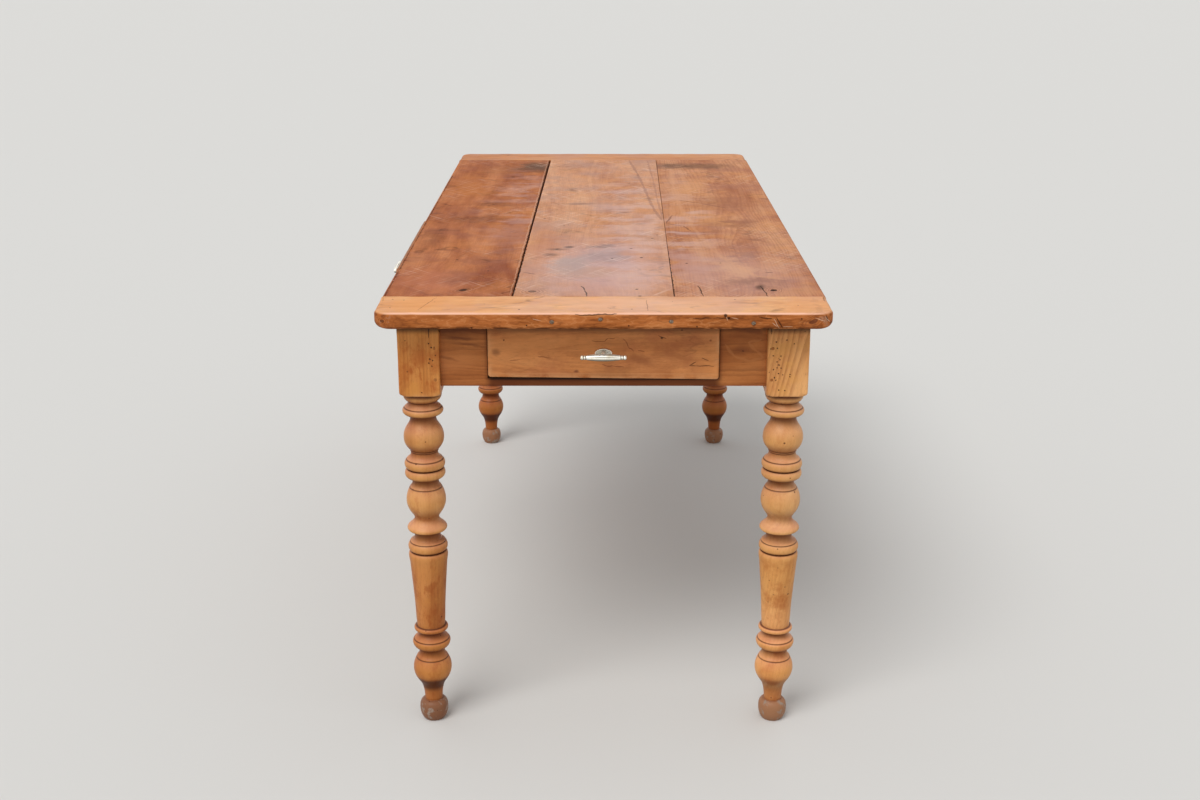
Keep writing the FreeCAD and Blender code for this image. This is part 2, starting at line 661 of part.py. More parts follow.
def make_boards():
    sides = {side: (f"{side} * topWidth / 2",) * 2 for side in (-1, 1)}
    insets = {side: moved(sides[side], f"{-side} * endTongueInset") for side in (-1, 1)}
    left_tongue, right_tongue = (moved(line, "edgeTongueLength") for line in (LEFT_LINE, RIGHT_LINE))
    boards = {
        "top_board_left": board(
            "top_board_left", (sides[-1], beside(LEFT_LINE, -1, "leftGap")),
            (insets[-1], left_tongue), outer=sides[-1][0]),
        "top_board_centre": board(
            "top_board_centre", (beside(LEFT_LINE, 1, "leftGap"), beside(RIGHT_LINE, -1, "rightGap")),
            (left_tongue, right_tongue), LEFT_LINE),
        "top_board_right": board(
            "top_board_right", (beside(RIGHT_LINE, 1, "rightGap"), sides[1]),
            (right_tongue, insets[1]), RIGHT_LINE, sides[1][0]),
    }
    for side, name in ((-1, "top_board_left"), (1, "top_board_right")):
        for number, (x, y) in enumerate(button_screw_places(side)):
            hole = bore(f"{name}_screw_{number}", (x, y, "underTop - overrun"), "+z", "screwDiameter",
                        "screwBite + overrun")
            boards[name][1].append(hole)
    for end, frame in breadboard_frames():
        for number, nail in enumerate(NAILS):
            name = board_over(nail[0] * (1 if end == "front" else -1), end)
            boards[name][1].append(nail_rod(bore, f"{name}_{end}_nail_{number}", nail, frame))
    for name, (whole, tools) in boards.items():
        settle(cut(name, whole, tools), name)


def board_over(across, end):
    """The top board that lies at this distance from the middle."""
    ending = "Front" if end == "front" else "Rear"
    if across < -value(f"leftJoint{ending}"):
        return "top_board_left"
    if across > value(f"rightJoint{ending}"):
        return "top_board_right"
    return "top_board_centre"


def breadboard_frames():
    return ("front", ("0", "-topLength / 2", 0)), ("rear", ("0", "topLength / 2", 2 * QUARTER))


def nail_rod(make, name, nail, frame, diameter="nailShankDiameter", length="nailLength"):
    """A nail's shank or head, or its hole, square to the end edge of the top."""
    across, rise = nail
    x, y = turned_place(frame, across, "0")
    direction = "+y" if frame[2] == 0 else "-y"
    return make(name, (x, y, f"{MID_TOP} + {rise}"), direction, diameter, length)


def breadboard_blank(name, half):
    """The end board before it is grooved and drilled, with its outer corners and edges rounded."""
    body = add("PartDesign::Body", f"{name}_blank")
    corners = ((f"-{half}", "0"), (half, "0"), (half, "breadboardWidth"), (f"-{half}", "breadboardWidth"))
    pad(body, f"{name}_pad", polygon(body, f"{name}_plan", "XY_Plane", corners), "topThickness")
    joint, thickness = value("breadboardWidth"), value("topThickness")

    def is_upright(edge):
        return not (lies_at(edge, "z", 0) or lies_at(edge, "z", thickness))

    ease(body, f"{name}_corners", "cornerRadius", lambda edge: lies_at(edge, "y", 0) and is_upright(edge))
    for level, radius in ((thickness, "upperArris"), (0, "lowerArris")):
        ease(body, f"{name}_{radius}", radius,
             lambda edge: lies_at(edge, "z", level) and not lies_at(edge, "y", joint))
    return body


def breadboard_cutters(name, half):
    """The groove for the boards' end tongues, and the holes for the nails."""
    across = (f"-{half} + endTongueInset - joineryFit", f"{half} - endTongueInset + joineryFit")
    along = ("breadboardWidth - endTongueLength - joineryFit", "breadboardWidth + overrun")
    up = ("(topThickness - tongueThickness) / 2 - joineryFit",
          "(topThickness + tongueThickness) / 2 + joineryFit")
    tools = [block(f"{name}_groove", across, along, up)]
    for number, (place, rise) in enumerate(NAILS):
        start = (place, "0", f"topThickness / 2 + {rise}")
        tools.append(bore(f"{name}_head_{number}", start, "+y", "nailHeadDiameter", "nailHeadThickness"))
        tools.append(bore(f"{name}_shank_{number}", start, "+y", "nailShankDiameter", "nailLength"))
    return tools


def make_breadboards():
    half = "topWidth / 2"
    nails = []
    for end, frame in breadboard_frames():
        name = f"breadboard_{end}"
        blank = breadboard_blank(name, half)
        settle(cut(name, blank, breadboard_cutters(name, half)), name, frame, "underTop")
        for number, nail in enumerate(NAILS):
            head = nail_rod(rod, f"{end}_nail_head_{number}", nail, frame, "nailHeadDiameter",
                            "nailHeadThickness")
            shank = nail_rod(rod, f"{end}_nail_shank_{number}", nail, frame)
            nails.append(join(f"{end}_nail_{number}", [head, shank]))
    settle(group("breadboard_nails", nails), "breadboard_nails")


def button_screw_places(side):
    """Plan places of the button screws on one side of the table."""
    x = f"{side} * (longApronFace - apronThickness - buttonLength / 2)"
    return [(x, button_middle(*button)) for button in BUTTONS]


def button_wood(label, side, y):
    """One button: its body under the top and its tongue in the apron's slot."""
    inner = "longApronFace - apronThickness"
    along = (f"{y} - buttonWidth / 2", f"{y} + buttonWidth / 2")
    lower = "underTop - buttonThickness"
    body = block(f"{label}_body", mirrored(side, f"{inner} - buttonLength", inner), along,
                 (lower, "underTop"))
    tongue = block(f"{label}_tongue", mirrored(side, inner, f"{inner} + buttonTongue"), along,
                   (lower, f"{lower} + buttonTongue"))
    return join(f"{label}_wood", [body, tongue])


def make_buttons():
    """Wooden buttons, their tongues in the aprons' slots, screwed up into the top."""
    buttons, screws = [], []
    for side, ending in ((-1, "left"), (1, "right")):
        for number, (x, y) in enumerate(button_screw_places(side)):
            label = f"button_{ending}_{number}"
            hole = bore(f"{label}_hole", (x, y, "underTop - buttonThickness - overrun"), "+z",
                        "screwDiameter", "buttonThickness + 2 * overrun")
            buttons.append(cut(label, button_wood(label, side, y), [hole]))
            foot = (x, y, "underTop - buttonThickness - screwHeadThickness")
            head = rod(f"{label}_head", foot, "+z", "screwHeadDiameter", "screwHeadThickness")
            shank = rod(f"{label}_shank", foot, "+z", "screwDiameter", "screwLength")
            screws.append(join(f"{label}_screw", [head, shank]))
    settle(group("top_buttons", buttons), "top_buttons")
    settle(group("button_screws", screws), "button_screws")


# ---------------------------------------------------------------------------------------------------
# Rails, runners, guides and stops under the top
# ---------------------------------------------------------------------------------------------------
RUNNER_HEIGHTS = ("runnerTop - runnerThickness", "runnerTop")
STOP_HEIGHTS = ("runnerTop", "runnerTop + stopHeight")
INNER_LONG = "(longApronFace - apronThickness)"
INNER_END = "(endApronFace - apronThickness)"


def make_cross_rails():
    inset = "(crossRailThickness - tenonThickness) / 2"
    reach = f"{INNER_LONG} + crossTenonLength"
    for name, (low, high) in CROSS_RAILS.items():
        rail = block(f"{name}_board", (f"-{INNER_LONG}", INNER_LONG), (low, high),
                     (RUNNER_HEIGHTS[0], "underTop"))
        tenons = block(f"{name}_tenons", (f"-({reach})", reach), (f"{low} + {inset}", f"{high} - {inset}"),
                       CROSS_TENON_HEIGHTS)
        settle(join(name, [rail, tenons]), name)


def make_end_drawer_ways():
    """Runner and guide strip on each side of the end drawer, and the stops on the runners."""
    along = (f"-{INNER_END}", "frontRailBack")
    stop_along = ("endFaceY + endDrawerDepth + runningGap", "frontRailBack")
    gap_edge = "endBoxHalf + guideGap"
    outer = f"{gap_edge} + guideWidth"
    guide_heights = ("runnerTop", "runnerTop + guideHeight")
    stops = []
    for side, ending in ((-1, "left"), (1, "right")):
        runner = mirrored(side, "endBoxHalf - runnerBearing", outer)
        subparts.append(block(f"end_drawer_runner_{ending}", runner, along, RUNNER_HEIGHTS))
        guide = mirrored(side, gap_edge, outer)
        subparts.append(block(f"end_drawer_guide_{ending}", guide, along, guide_heights))
        stop = mirrored(side, "endBoxHalf - stopWidth", "endBoxHalf")
        stops.append(block(f"end_drawer_stop_{ending}", stop, stop_along, STOP_HEIGHTS))
    settle(group("end_drawer_stops", stops), "end_drawer_stops")


def make_side_drawer_ways():
    """Runners along both cross rails, which guide the side drawer, and the stops on the runners."""
    across = (f"-{INNER_LONG}", INNER_LONG)
    stop_start = "sideFaceX + sideDrawerDepth + runningGap"
    stop_across = (stop_start, f"{stop_start} + stopLength")
    bearing = "(frontSideGap + boxInset + runnerBearing)"
    stop_reach = "(frontSideGap + boxInset + stopWidth)"
    stops = []
    for ending, face, sign in (("front", "frontRailFace", 1), ("rear", "rearRailFace", -1)):
        run = sorted((face, f"{face} + {sign} * {bearing}"), key=value)
        stop = sorted((face, f"{face} + {sign} * {stop_reach}"), key=value)
        subparts.append(block(f"side_drawer_runner_{ending}", across, run, RUNNER_HEIGHTS))
        stops.append(block(f"side_drawer_stop_{ending}", stop_across, stop, STOP_HEIGHTS))
    settle(group("side_drawer_stops", stops), "side_drawer_stops")


# ---------------------------------------------------------------------------------------------------
# Drawers: own frame with x across the front, face at y = 0, inwards along y, z = 0 on the runners
# ---------------------------------------------------------------------------------------------------
SIDE_HEIGHTS = ("runningGap", "sideTop")
BOTTOM_HEIGHTS = ("runningGap + bottomLift", "bottomTop")


def drawer_side(name, side, half, depth):
    """A drawer side with two dovetails ahead of its shoulder and a groove for the bottom."""
    inner = f"{half} - sideThickness"
    across = mirrored(side, inner, half)
    plank = block(f"{name}_board", across, ("frontThickness", depth), SIDE_HEIGHTS)
    tails = []
    for tail in ("lowerTail", "upperTail"):
        wedge = add("Part::Wedge", f"{name}_{tail}")
        bind(wedge, Xmin="0", X2min="0", Xmax="sideThickness", X2max="sideThickness", Ymin="0",
             Ymax="tailLength", Zmin="-tailTip / 2", Zmax="tailTip / 2", Z2min="-tailRoot / 2",
             Z2max="tailRoot / 2", x=across[0], y="frontThickness - tailLength", z=tail)
        tails.append(wedge)
    groove = block(f"{name}_groove", mirrored(side, inner, f"{inner} + bottomGroove"),
                   ("frontThickness", f"{depth} + overrun"), BOTTOM_HEIGHTS)
    return cut(name, join(f"{name}_whole", [plank, *tails]), [groove]), tails


def drawer_front(name, width, tilt, cutters):
    """The front board, its lower edge planed out of parallel, with sockets for tails and bottom."""
    body = add("PartDesign::Body", f"{name}_blank")
    half = f"{width} / 2"
    corners = ((f"-{half}", f"frontLowerGap + {tilt}"), (half, "frontLowerGap"),
               (half, "frontTop"), (f"-{half}", "frontTop"))
    pad(body, f"{name}_pad", polygon(body, f"{name}_face", "XZ_Plane", corners), "frontThickness", True)
    ease(body, f"{name}_eased", "frontArris", lambda edge: lies_at(edge, "y", 0))
    hole = bore(f"{name}_hole", ("0", "-overrun", "handleHeight"), "+y", "tailDiameter",
                "frontThickness + 2 * overrun")
    return cut(name, body, [hole] + cutters)


def handle_bar(name):
    """A barrel-shaped bar with a collar and a ball at each end: half of it turned, then mirrored."""
    body = add("PartDesign::Body", f"{name}_blank")
    half, barrel = value("barLength / 2"), value("barrelLength / 2")
    thick, end = value("barrelDiameter / 2"), value("barEndDiameter / 2")
    steps = [(0, thick), (barrel / 2, arc_middle(thick, end, barrel), barrel, end)]
    for step in scaled(TIP, (half - barrel) / TIP_LENGTH, end / TIP_RADIUS):
        steps.append(tuple(n if index % 2 else barrel + n for index, n in enumerate(step)))
    profile = outline(body, f"{name}_outline", "XY_Plane", (0, 0), steps)
    turning = revolve(body, f"{name}_turning", profile, "H_Axis")
    mirror = body.newObject("PartDesign::Mirrored", f"{name}_mirror")
    mirror.Originals = [turning]
    mirror.MirrorPlane = (origin_plane(body, "YZ_Plane"), [""])
    body.Tip = mirror
    start = "barrelDiameter / 2 - barTenonLength - joineryFit"
    hole = bore(f"{name}_hole", ("0", start, "0"), "+y", "barTenonDiameter", "barrelDiameter / 2")
    return cut(name, body, [hole])


def arc_middle(first, last, reach):
    """Height halfway along an arc that starts level at the first height and ends at the last."""
    drop = first - last
    radius = (reach ** 2 + drop ** 2) / (2 * drop)
    return first - radius + math.copysign((radius ** 2 - (reach / 2) ** 2) ** 0.5, radius)


def handle_post(name):
    """The stem: bar tenon, shaft, flared foot on the backplate and threaded tail, turned about y."""
    body = add("PartDesign::Body", name)
    tenon, shaft, foot, tail = (
        value(f"{diameter} / 2") for diameter in
        ("barTenonDiameter", "postDiameter", "postFootDiameter", "tailDiameter"))
    shoulder = value("barrelDiameter / 2 - handleStandoff")
    start = shoulder - value("barTenonLength")
    plate = -value("rosetteThickness")
    flare, foot_edge = value("postFlare"), plate - value("postFootThickness")
    end = value("frontThickness + nutThickness + tailPastNut")
    steps = [(tenon, start), (tenon, shoulder), (shaft, shoulder), (shaft, foot_edge - flare),
             (arc_middle(shaft, foot, flare), foot_edge - flare / 2, foot, foot_edge),
             (foot, plate), (tail, plate), (tail, end), (0, end)]
    profile = outline(body, f"{name}_outline", "XY_Plane", (0, start), steps)
    revolve(body, f"{name}_turning", profile, "V_Axis")
    return body


def oval(body, name, less):
    """The backplate's ellipse, smaller all round by a margin."""
    sketch = new_sketch(body, name, "XZ_Plane")
    across, up = (value(f"{size} / 2 - {less}") for size in ("rosetteWidth", "rosetteHeight"))
    sketch.addGeometry(Part.Ellipse(Vector(across, 0, 0), Vector(0, up, 0), Vector()))
    return sketch


def handle_rosette(name):
    """An oval backplate with a raised oval in its middle."""
    body = add("PartDesign::Body", f"{name}_blank")
    pad(body, f"{name}_plate", oval(body, f"{name}_outer", "0"), "rosetteRimThickness")
    face = -value("rosetteRimThickness")
    ease(body, f"{name}_eased", "rosetteRimArris", lambda edge: lies_at(edge, "y", face))
    pad(body, f"{name}_middle", oval(body, f"{name}_inner", "rosetteRim"), "rosetteThickness")
    hole = bore(f"{name}_hole", ("0", "-rosetteThickness - overrun", "0"), "+y", "tailDiameter",
                "rosetteThickness + 2 * overrun")
    return cut(name, body, [hole])


def make_drawer(stem, width, depth, half, tilt, frame):
    inner = f"{half} - sideThickness"
    panel = f"{inner} + bottomGroove"
    panel_start = "frontThickness - bottomGroove"
    cutters = [block(f"{stem}_front_groove", (f"-({panel})", panel),
                     (panel_start, "frontThickness + overrun"), BOTTOM_HEIGHTS)]
    for side, ending in ((-1, "left"), (1, "right")):
        item, tails = drawer_side(f"{stem}_side_{ending}", side, half, depth)
        settle(item, item.Label, frame, "runnerTop")
        cutters += tails
    front = drawer_front(f"{stem}_front", width, tilt, cutters)
    settle(front, front.Label, frame, "runnerTop")
    boards = {
        f"{stem}_bottom": (panel, (panel_start, depth), BOTTOM_HEIGHTS),
        f"{stem}_back": (inner, (f"{depth} - backThickness", depth),
                         (BOTTOM_HEIGHTS[1], f"{SIDE_HEIGHTS[1]} - backDrop")),
    }
    for name, (reach, along, up) in boards.items():
        item = block(name, (f"-({reach})", reach), along, up)
        settle(item, name, frame, f"runnerTop + {up[0]}", f"-({reach})", along[0])


def make_handle(stem, frame):
    level = "runnerTop + handleHeight"
    settle(handle_bar(f"{stem}_handle_bar"), f"{stem}_handle_bar", frame, level, along="-handleStandoff")
    settle(handle_post(f"{stem}_handle_post"), f"{stem}_handle_post", frame, level)
    settle(handle_rosette(f"{stem}_handle_rosette"), f"{stem}_handle_rosette", frame, level)
    half = "nutWidth / 2"
    nut = block(f"{stem}_nut_blank", (f"-{half}", half),
                ("frontThickness", "frontThickness + nutThickness"), (f"-{half}", half))
    hole = bore(f"{stem}_nut_bore", ("0", "0", "0"), "+y", "tailDiameter",
                "frontThickness + nutThickness + overrun")
    settle(cut(f"{stem}_handle_nut", nut, [hole]), f"{stem}_handle_nut", frame, level)


# ---------------------------------------------------------------------------------------------------
# The table
# ---------------------------------------------------------------------------------------------------
make_legs()
make_aprons()
make_boards()
make_breadboards()
make_buttons()
make_cross_rails()
make_end_drawer_ways()
make_side_drawer_ways()
DRAWERS = (
    ("end_drawer", "endDrawerWidth", "endDrawerDepth", "endBoxHalf", "endDrawerTilt", ("0", "endFaceY", 0)),
    ("side_drawer", "sideDrawerWidth", "sideDrawerDepth", "sideBoxHalf", "sideDrawerTilt",
     ("sideFaceX - sideDrawerAjar", "sideDrawerY", -QUARTER)),
)
for drawer in DRAWERS:
    make_drawer(*drawer)
    make_handle(drawer[0], drawer[-1])
doc.recompute()

for item in doc.Objects:
    if {"Invalid", "Error"} & set(item.State):
        raise RuntimeError(f"{item.Label} did not compute: {item.State}")
for item in subparts:
    if item.Shape.isNull() or not item.Shape.isValid():
        raise RuntimeError(f"{item.Label} has no valid shape")

os.makedirs("parts", exist_ok=True)
for item in subparts:
    item.Shape.exportStep(os.path.join("parts", f"{item.Label}.step"))
print(f"{len(subparts)} sub-parts written")
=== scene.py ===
# %% [markdown]
# # A farmhouse table with drawers
# This lesson dresses a table whose joinery was worked out in CAD. The imported frame gives every part
# its true size and place, in metres, with X to the right, Y away and Z up. Blender adds what years of
# use add: worn arrises, turned legs with dirt in their grooves, waxed boards, and pulls of pale metal.
# The dressed table has to stay inside it.

# %% Load the frame
import math
import bpy
import numpy as np
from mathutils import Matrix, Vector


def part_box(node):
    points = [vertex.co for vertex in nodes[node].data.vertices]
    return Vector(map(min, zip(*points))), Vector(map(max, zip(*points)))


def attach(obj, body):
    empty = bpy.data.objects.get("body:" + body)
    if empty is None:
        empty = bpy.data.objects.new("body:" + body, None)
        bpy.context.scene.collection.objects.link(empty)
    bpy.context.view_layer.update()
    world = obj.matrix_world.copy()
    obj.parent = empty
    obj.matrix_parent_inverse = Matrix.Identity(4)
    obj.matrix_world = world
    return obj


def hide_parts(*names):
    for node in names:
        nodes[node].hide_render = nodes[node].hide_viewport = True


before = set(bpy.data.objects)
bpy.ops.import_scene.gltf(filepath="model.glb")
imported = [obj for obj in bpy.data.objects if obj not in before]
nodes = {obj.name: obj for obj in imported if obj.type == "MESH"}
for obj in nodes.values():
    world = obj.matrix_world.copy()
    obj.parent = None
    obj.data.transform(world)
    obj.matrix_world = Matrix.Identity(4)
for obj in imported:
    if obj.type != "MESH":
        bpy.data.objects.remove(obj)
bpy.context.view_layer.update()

# %% [markdown]
# ## The camera
# The eye stands in front of the near end, a little above the top, and looks slightly down. A lens of
# 45 mm on a 36 mm sensor gives the same narrowing of the long top as a person sees from there.

# %% Camera
camera_data = bpy.data.cameras.new("eye")
camera_data.lens = 44.8
camera_data.sensor_width = 36.0
camera_data.clip_end = 200.0
camera = bpy.data.objects.new("eye", camera_data)
camera.location = (-0.003, -3.065, 1.355)
camera.rotation_euler = (math.pi / 2 - 0.316, 0.0, 0.0011)
bpy.context.scene.collection.objects.link(camera)
bpy.context.scene.camera = camera
print("camera at", tuple(camera.location))

# %% [markdown]
# ## Laying out shader nodes
# A procedural material is a small network of nodes. Written out link by link it is hard to read, so
# each node is placed by one call, and its outputs are wires that can be added, multiplied and compared:
# a formula then reads as a formula. Colours are the bytes that a paint program shows, and are turned
# into the linear numbers that shaders mix.

# %% Colours and wires
def tone(red, green, blue):
    """Linear colour of sRGB bytes: with c a byte over 255, it is c / 12.92 up to c = 0.04, and
    ((c + 0.055) / 1.055) ^ 2.4 above."""
    share = np.array([red, green, blue]) / 255
    linear = np.where(share <= 0.04045, share / 12.92, ((share + 0.055) / 1.055) ** 2.4)
    return (*linear.tolist(), 1.0)


class Wire:
    """A node's output. A sign between two wires, or a wire and a number, places one more node."""

    def __init__(self, bench, socket):
        self.bench = bench
        self.socket = socket

    def __add__(self, other):
        return self.bench.math("ADD", self, other)

    def __sub__(self, other):
        return self.bench.math("SUBTRACT", self, other)

    def __rsub__(self, other):
        return self.bench.math("SUBTRACT", other, self)

    def __mul__(self, other):
        return self.bench.math("MULTIPLY", self, other)

    def __truediv__(self, other):
        return self.bench.math("DIVIDE", self, other)

    def __abs__(self):
        return self.bench.math("ABSOLUTE", self)

    def smooth(self, start, end):
        """0 at start, 1 at end, and a soft curve between them."""
        return self.bench.node("MapRange", self, start, end, 0.0, 1.0,
                               interpolation_type="SMOOTHSTEP")[0]

    def measure(self, operation, other=None):
        """One number from places: their LENGTH, DISTANCE or DOT_PRODUCT."""
        return self.bench.node("VectorMath", self, other, operation=operation)["Value"]

    def turned(self, angle):
        return self.bench.node("VectorRotate", self, {"Angle": angle}, rotation_type="Z_AXIS")[0]

    def split(self):
        parts = self.bench.node("SeparateXYZ", self)
        return parts[0], parts[1], parts[2]


def many(value):
    """Whether a value is a place or a colour, not a single number."""
    return isinstance(value, tuple) or isinstance(value, Wire) and value.socket.type != "VALUE"


print("to a shader, mid grey is", round(tone(128, 128, 128)[0], 3))

# %% A bench for nodes
class Bench:
    """A place to lay out nodes: each call makes one node, wires its inputs and returns its outputs."""

    def __init__(self, tree):
        self.tree = tree

    def outputs(self, made):
        """The wires of a node, by their number and by their name."""
        wires = dict(enumerate(Wire(self, socket) for socket in made.outputs))
        return wires | {wire.socket.name: wire for wire in wires.values()}

    def feed(self, socket, value):
        if isinstance(value, Wire):
            self.tree.links.new(value.socket, socket)
        elif socket.type == "VECTOR" and not isinstance(value, tuple):
            socket.default_value = (value, value, value)
        else:
            socket.default_value = value

    def node(self, kind, *values, **settings):
        """Values go into the inputs in turn, but a dictionary's go where its keys say."""
        made = self.tree.nodes.new("ShaderNode" + kind)
        for key, value in settings.items():
            setattr(made, key, value)
        for place, value in enumerate(values):
            named = value if isinstance(value, dict) else {place: value}
            for key, part in named.items():
                if part is not None:
                    self.feed(made.inputs[key], part)
        return self.outputs(made)

    def math(self, operation, *values, **settings):
        """Math for numbers, Vector Math for places and colours, whose product with a number is SCALE."""
        wide = [many(value) for value in values]
        if operation == "MULTIPLY" and sum(wide) == 1:
            vector, factor = sorted(values, key=many, reverse=True)
            return self.node("VectorMath", vector, {"Scale": factor}, operation="SCALE")[0]
        kind = "VectorMath" if any(wide) else "Math"
        return self.node(kind, *values, operation=operation, **settings)[0]

    def noise(self, vector, scale=1.0, detail=2.0, rough=0.5, colour=False):
        made = self.node("TexNoise", vector, {"Scale": scale, "Detail": detail, "Roughness": rough})
        return made["Color" if colour else 0]

    def mix(self, factor, first, second, blend="MIX"):
        first, second = (tone(*part) if isinstance(part, tuple) else part for part in (first, second))
        return self.node("Mix", {0: factor, 6: first, 7: second}, data_type="RGBA", blend_type=blend)[2]

    def ramp(self, value, *stops):
        """Colours along a scale: each stop is (place, red, green, blue)."""
        made = self.tree.nodes.new("ShaderNodeValToRGB")
        self.feed(made.inputs[0], value)
        elements = made.color_ramp.elements
        elements[0].position, elements[1].position = stops[0][0], stops[-1][0]
        for place, *_ in stops[1:-1]:
            elements.new(place)
        for element, (_, *colour) in zip(elements, stops):
            element.color = tone(*colour)
        return self.outputs(made)[0]

    def group(self, tree, **values):
        named = {key.replace("_", " ").title(): value for key, value in values.items()}
        return self.node("Group", named, node_tree=tree)


print("bench ready")

# %% [markdown]
# ## Shared effects
# Wood looks like wood because a board is a slice through a trunk. The grain group keeps that idea: it
# measures how far each point lies from a wandering heart line, counts rings by that distance, and draws
# a dark line at the end of each ring. Where a turned ball cuts the rings, an eye appears by itself. The
# group also gives fine fibres, short pores and soft clouds. Marks that more than one finish uses, such
# as stains, cracks, worm holes and worn edges, are groups too.

# %% A helper for groups, and the grain group
def new_group(name, formula, **inputs):
    """A node group: inputs are names and first values, and formula gives its outputs by name."""
    tree = bpy.data.node_groups.new(name, "ShaderNodeTree")
    for key, value in inputs.items():
        kind = "NodeSocketVector" if isinstance(value, tuple) else "NodeSocketFloat"
        label = key.replace("_", " ").title()
        tree.interface.new_socket(label, in_out="INPUT", socket_type=kind).default_value = value
    bench = Bench(tree)
    start = bench.outputs(tree.nodes.new("NodeGroupInput"))
    results = formula(bench, *[start[place] for place in range(len(inputs))])
    for label in results:
        tree.interface.new_socket(label, in_out="OUTPUT", socket_type="NodeSocketFloat")
    end = tree.nodes.new("NodeGroupOutput").inputs
    for label, wire in results.items():
        bench.feed(end[label], wire)
    print(name, "group:", len(tree.nodes), "nodes")
    return tree


def grain(bench, vector, ring_width, heart_side, heart_depth, heart_tilt, wander, seed):
    """Rings round a heart line that runs along X, below the face, with fibres, pores and clouds."""
    place = vector + seed * (3.1, 1.7, 2.3)
    slow = bench.noise(place * (1.7, 5.5, 5.5), detail=1.0, colour=True) - 0.5
    quick = bench.noise(place * (8.0, 28.0, 28.0), colour=True) - 0.5
    x, y, z = (vector + (slow * 3.0 + quick * 0.7) * wander).split()
    side = y - heart_side
    depth = x * heart_tilt + (z + heart_depth)
    count = bench.math("SQRT", side * side + depth * depth) / ring_width
    part = bench.math("FRACT", count)
    lane = bench.node("CombineXYZ", count * 0.37, seed, 0.0)[0]
    return {"Ring": part.smooth(0.25, 0.9) * (1 - part.smooth(0.92, 1.0)),
            "Tone": bench.noise(lane),
            "Fibre": bench.noise(place * (11.0, 420.0, 420.0), detail=3.0, rough=0.6),
            "Cloud": bench.noise(place * (3.4, 11.0, 11.0), detail=4.0, rough=0.62),
            "Pore": bench.noise(place * (130.0, 1500.0, 1500.0), detail=0.0).smooth(0.62, 0.78)}


GRAIN = new_group("Wood Grain", grain, vector=(0, 0, 0), ring_width=0.004, heart_side=0.0,
                  heart_depth=0.06, heart_tilt=0.0, wander=0.01, seed=0.0)

# %% Groups for single marks
def blot(bench, vector, middle, turn, reach):
    """A soft stain: 1 at its middle, falling smoothly to 0 at the edge of a turned ellipse. Rings are
    five waves from its middle to its edge, as round a knot."""
    share = ((vector - middle).turned(turn) / reach).measure("LENGTH")
    wave = bench.math("COSINE", share * 31.4)
    return {"Mask": 1 - share.smooth(0.15, 1.0),
            "Rings": wave.smooth(-0.2, 1.0) * (1 - share.smooth(0.5, 1.0))}


def crack_line(bench, vector, first, last, width):
    """How near a point is to a straight crack: distance to the run between two ends over width."""
    run, away = last - first, vector - first
    share = bench.math("DIVIDE", away.measure("DOT_PRODUCT", run), run.measure("DOT_PRODUCT", run),
                       use_clamp=True)
    taper = (1 - share) * share * 2.4 + 0.4
    return {"Nearness": away.measure("DISTANCE", run * share) / (width * taper)}


def worm_holes(bench, vector, cells, share, radius):
    """Scattered round holes: in a few of the cells of a random foam, a dark disc of about one size."""
    foam = bench.node("TexVoronoi", vector, {"Scale": cells}, distance="EUCLIDEAN")
    disc = 1 - foam["Distance"] / (radius * cells)
    chosen = bench.math("LESS_THAN", foam["Color"].split()[0], share)
    return {"Mask": disc.smooth(0.0, 0.5) * chosen}


def edge_wear(bench, vector, edge, amount):
    """Worn edges: the edge mask of a piece broken up by clouds, so that wear comes and goes."""
    patch = bench.noise(vector, 38.0, 4.0, 0.65).smooth(0.32, 0.62)
    return {"Mask": bench.math("MULTIPLY", edge * patch, amount, use_clamp=True)}


BLOT = new_group("Blot", blot, vector=(0, 0, 0), middle=(0, 0, 0), turn=0.0, reach=(1, 1, 1))
LINE = new_group("Crack Line", crack_line, vector=(0, 0, 0), first=(0, 0, 0), last=(1, 0, 0),
                 width=0.001)
WORM = new_group("Worm Holes", worm_holes, vector=(0, 0, 0), cells=60.0, share=0.1, radius=0.0008)
WEAR = new_group("Edge Wear", edge_wear, vector=(0, 0, 0), edge=0.0, amount=1.0)

# %% [markdown]
# ## A finish, step by step
# Every wooden surface is built up in the same order as a real one: the timber's own colour and rings,
# then stains and cracks, then wear on the edges, then wax. A finish object keeps the colour and the
# height so far, and each step changes them. Marks are written as rows of a table, in millimetres on
# the face that shows them, so a flat pattern vector picks the two coordinates of that face.

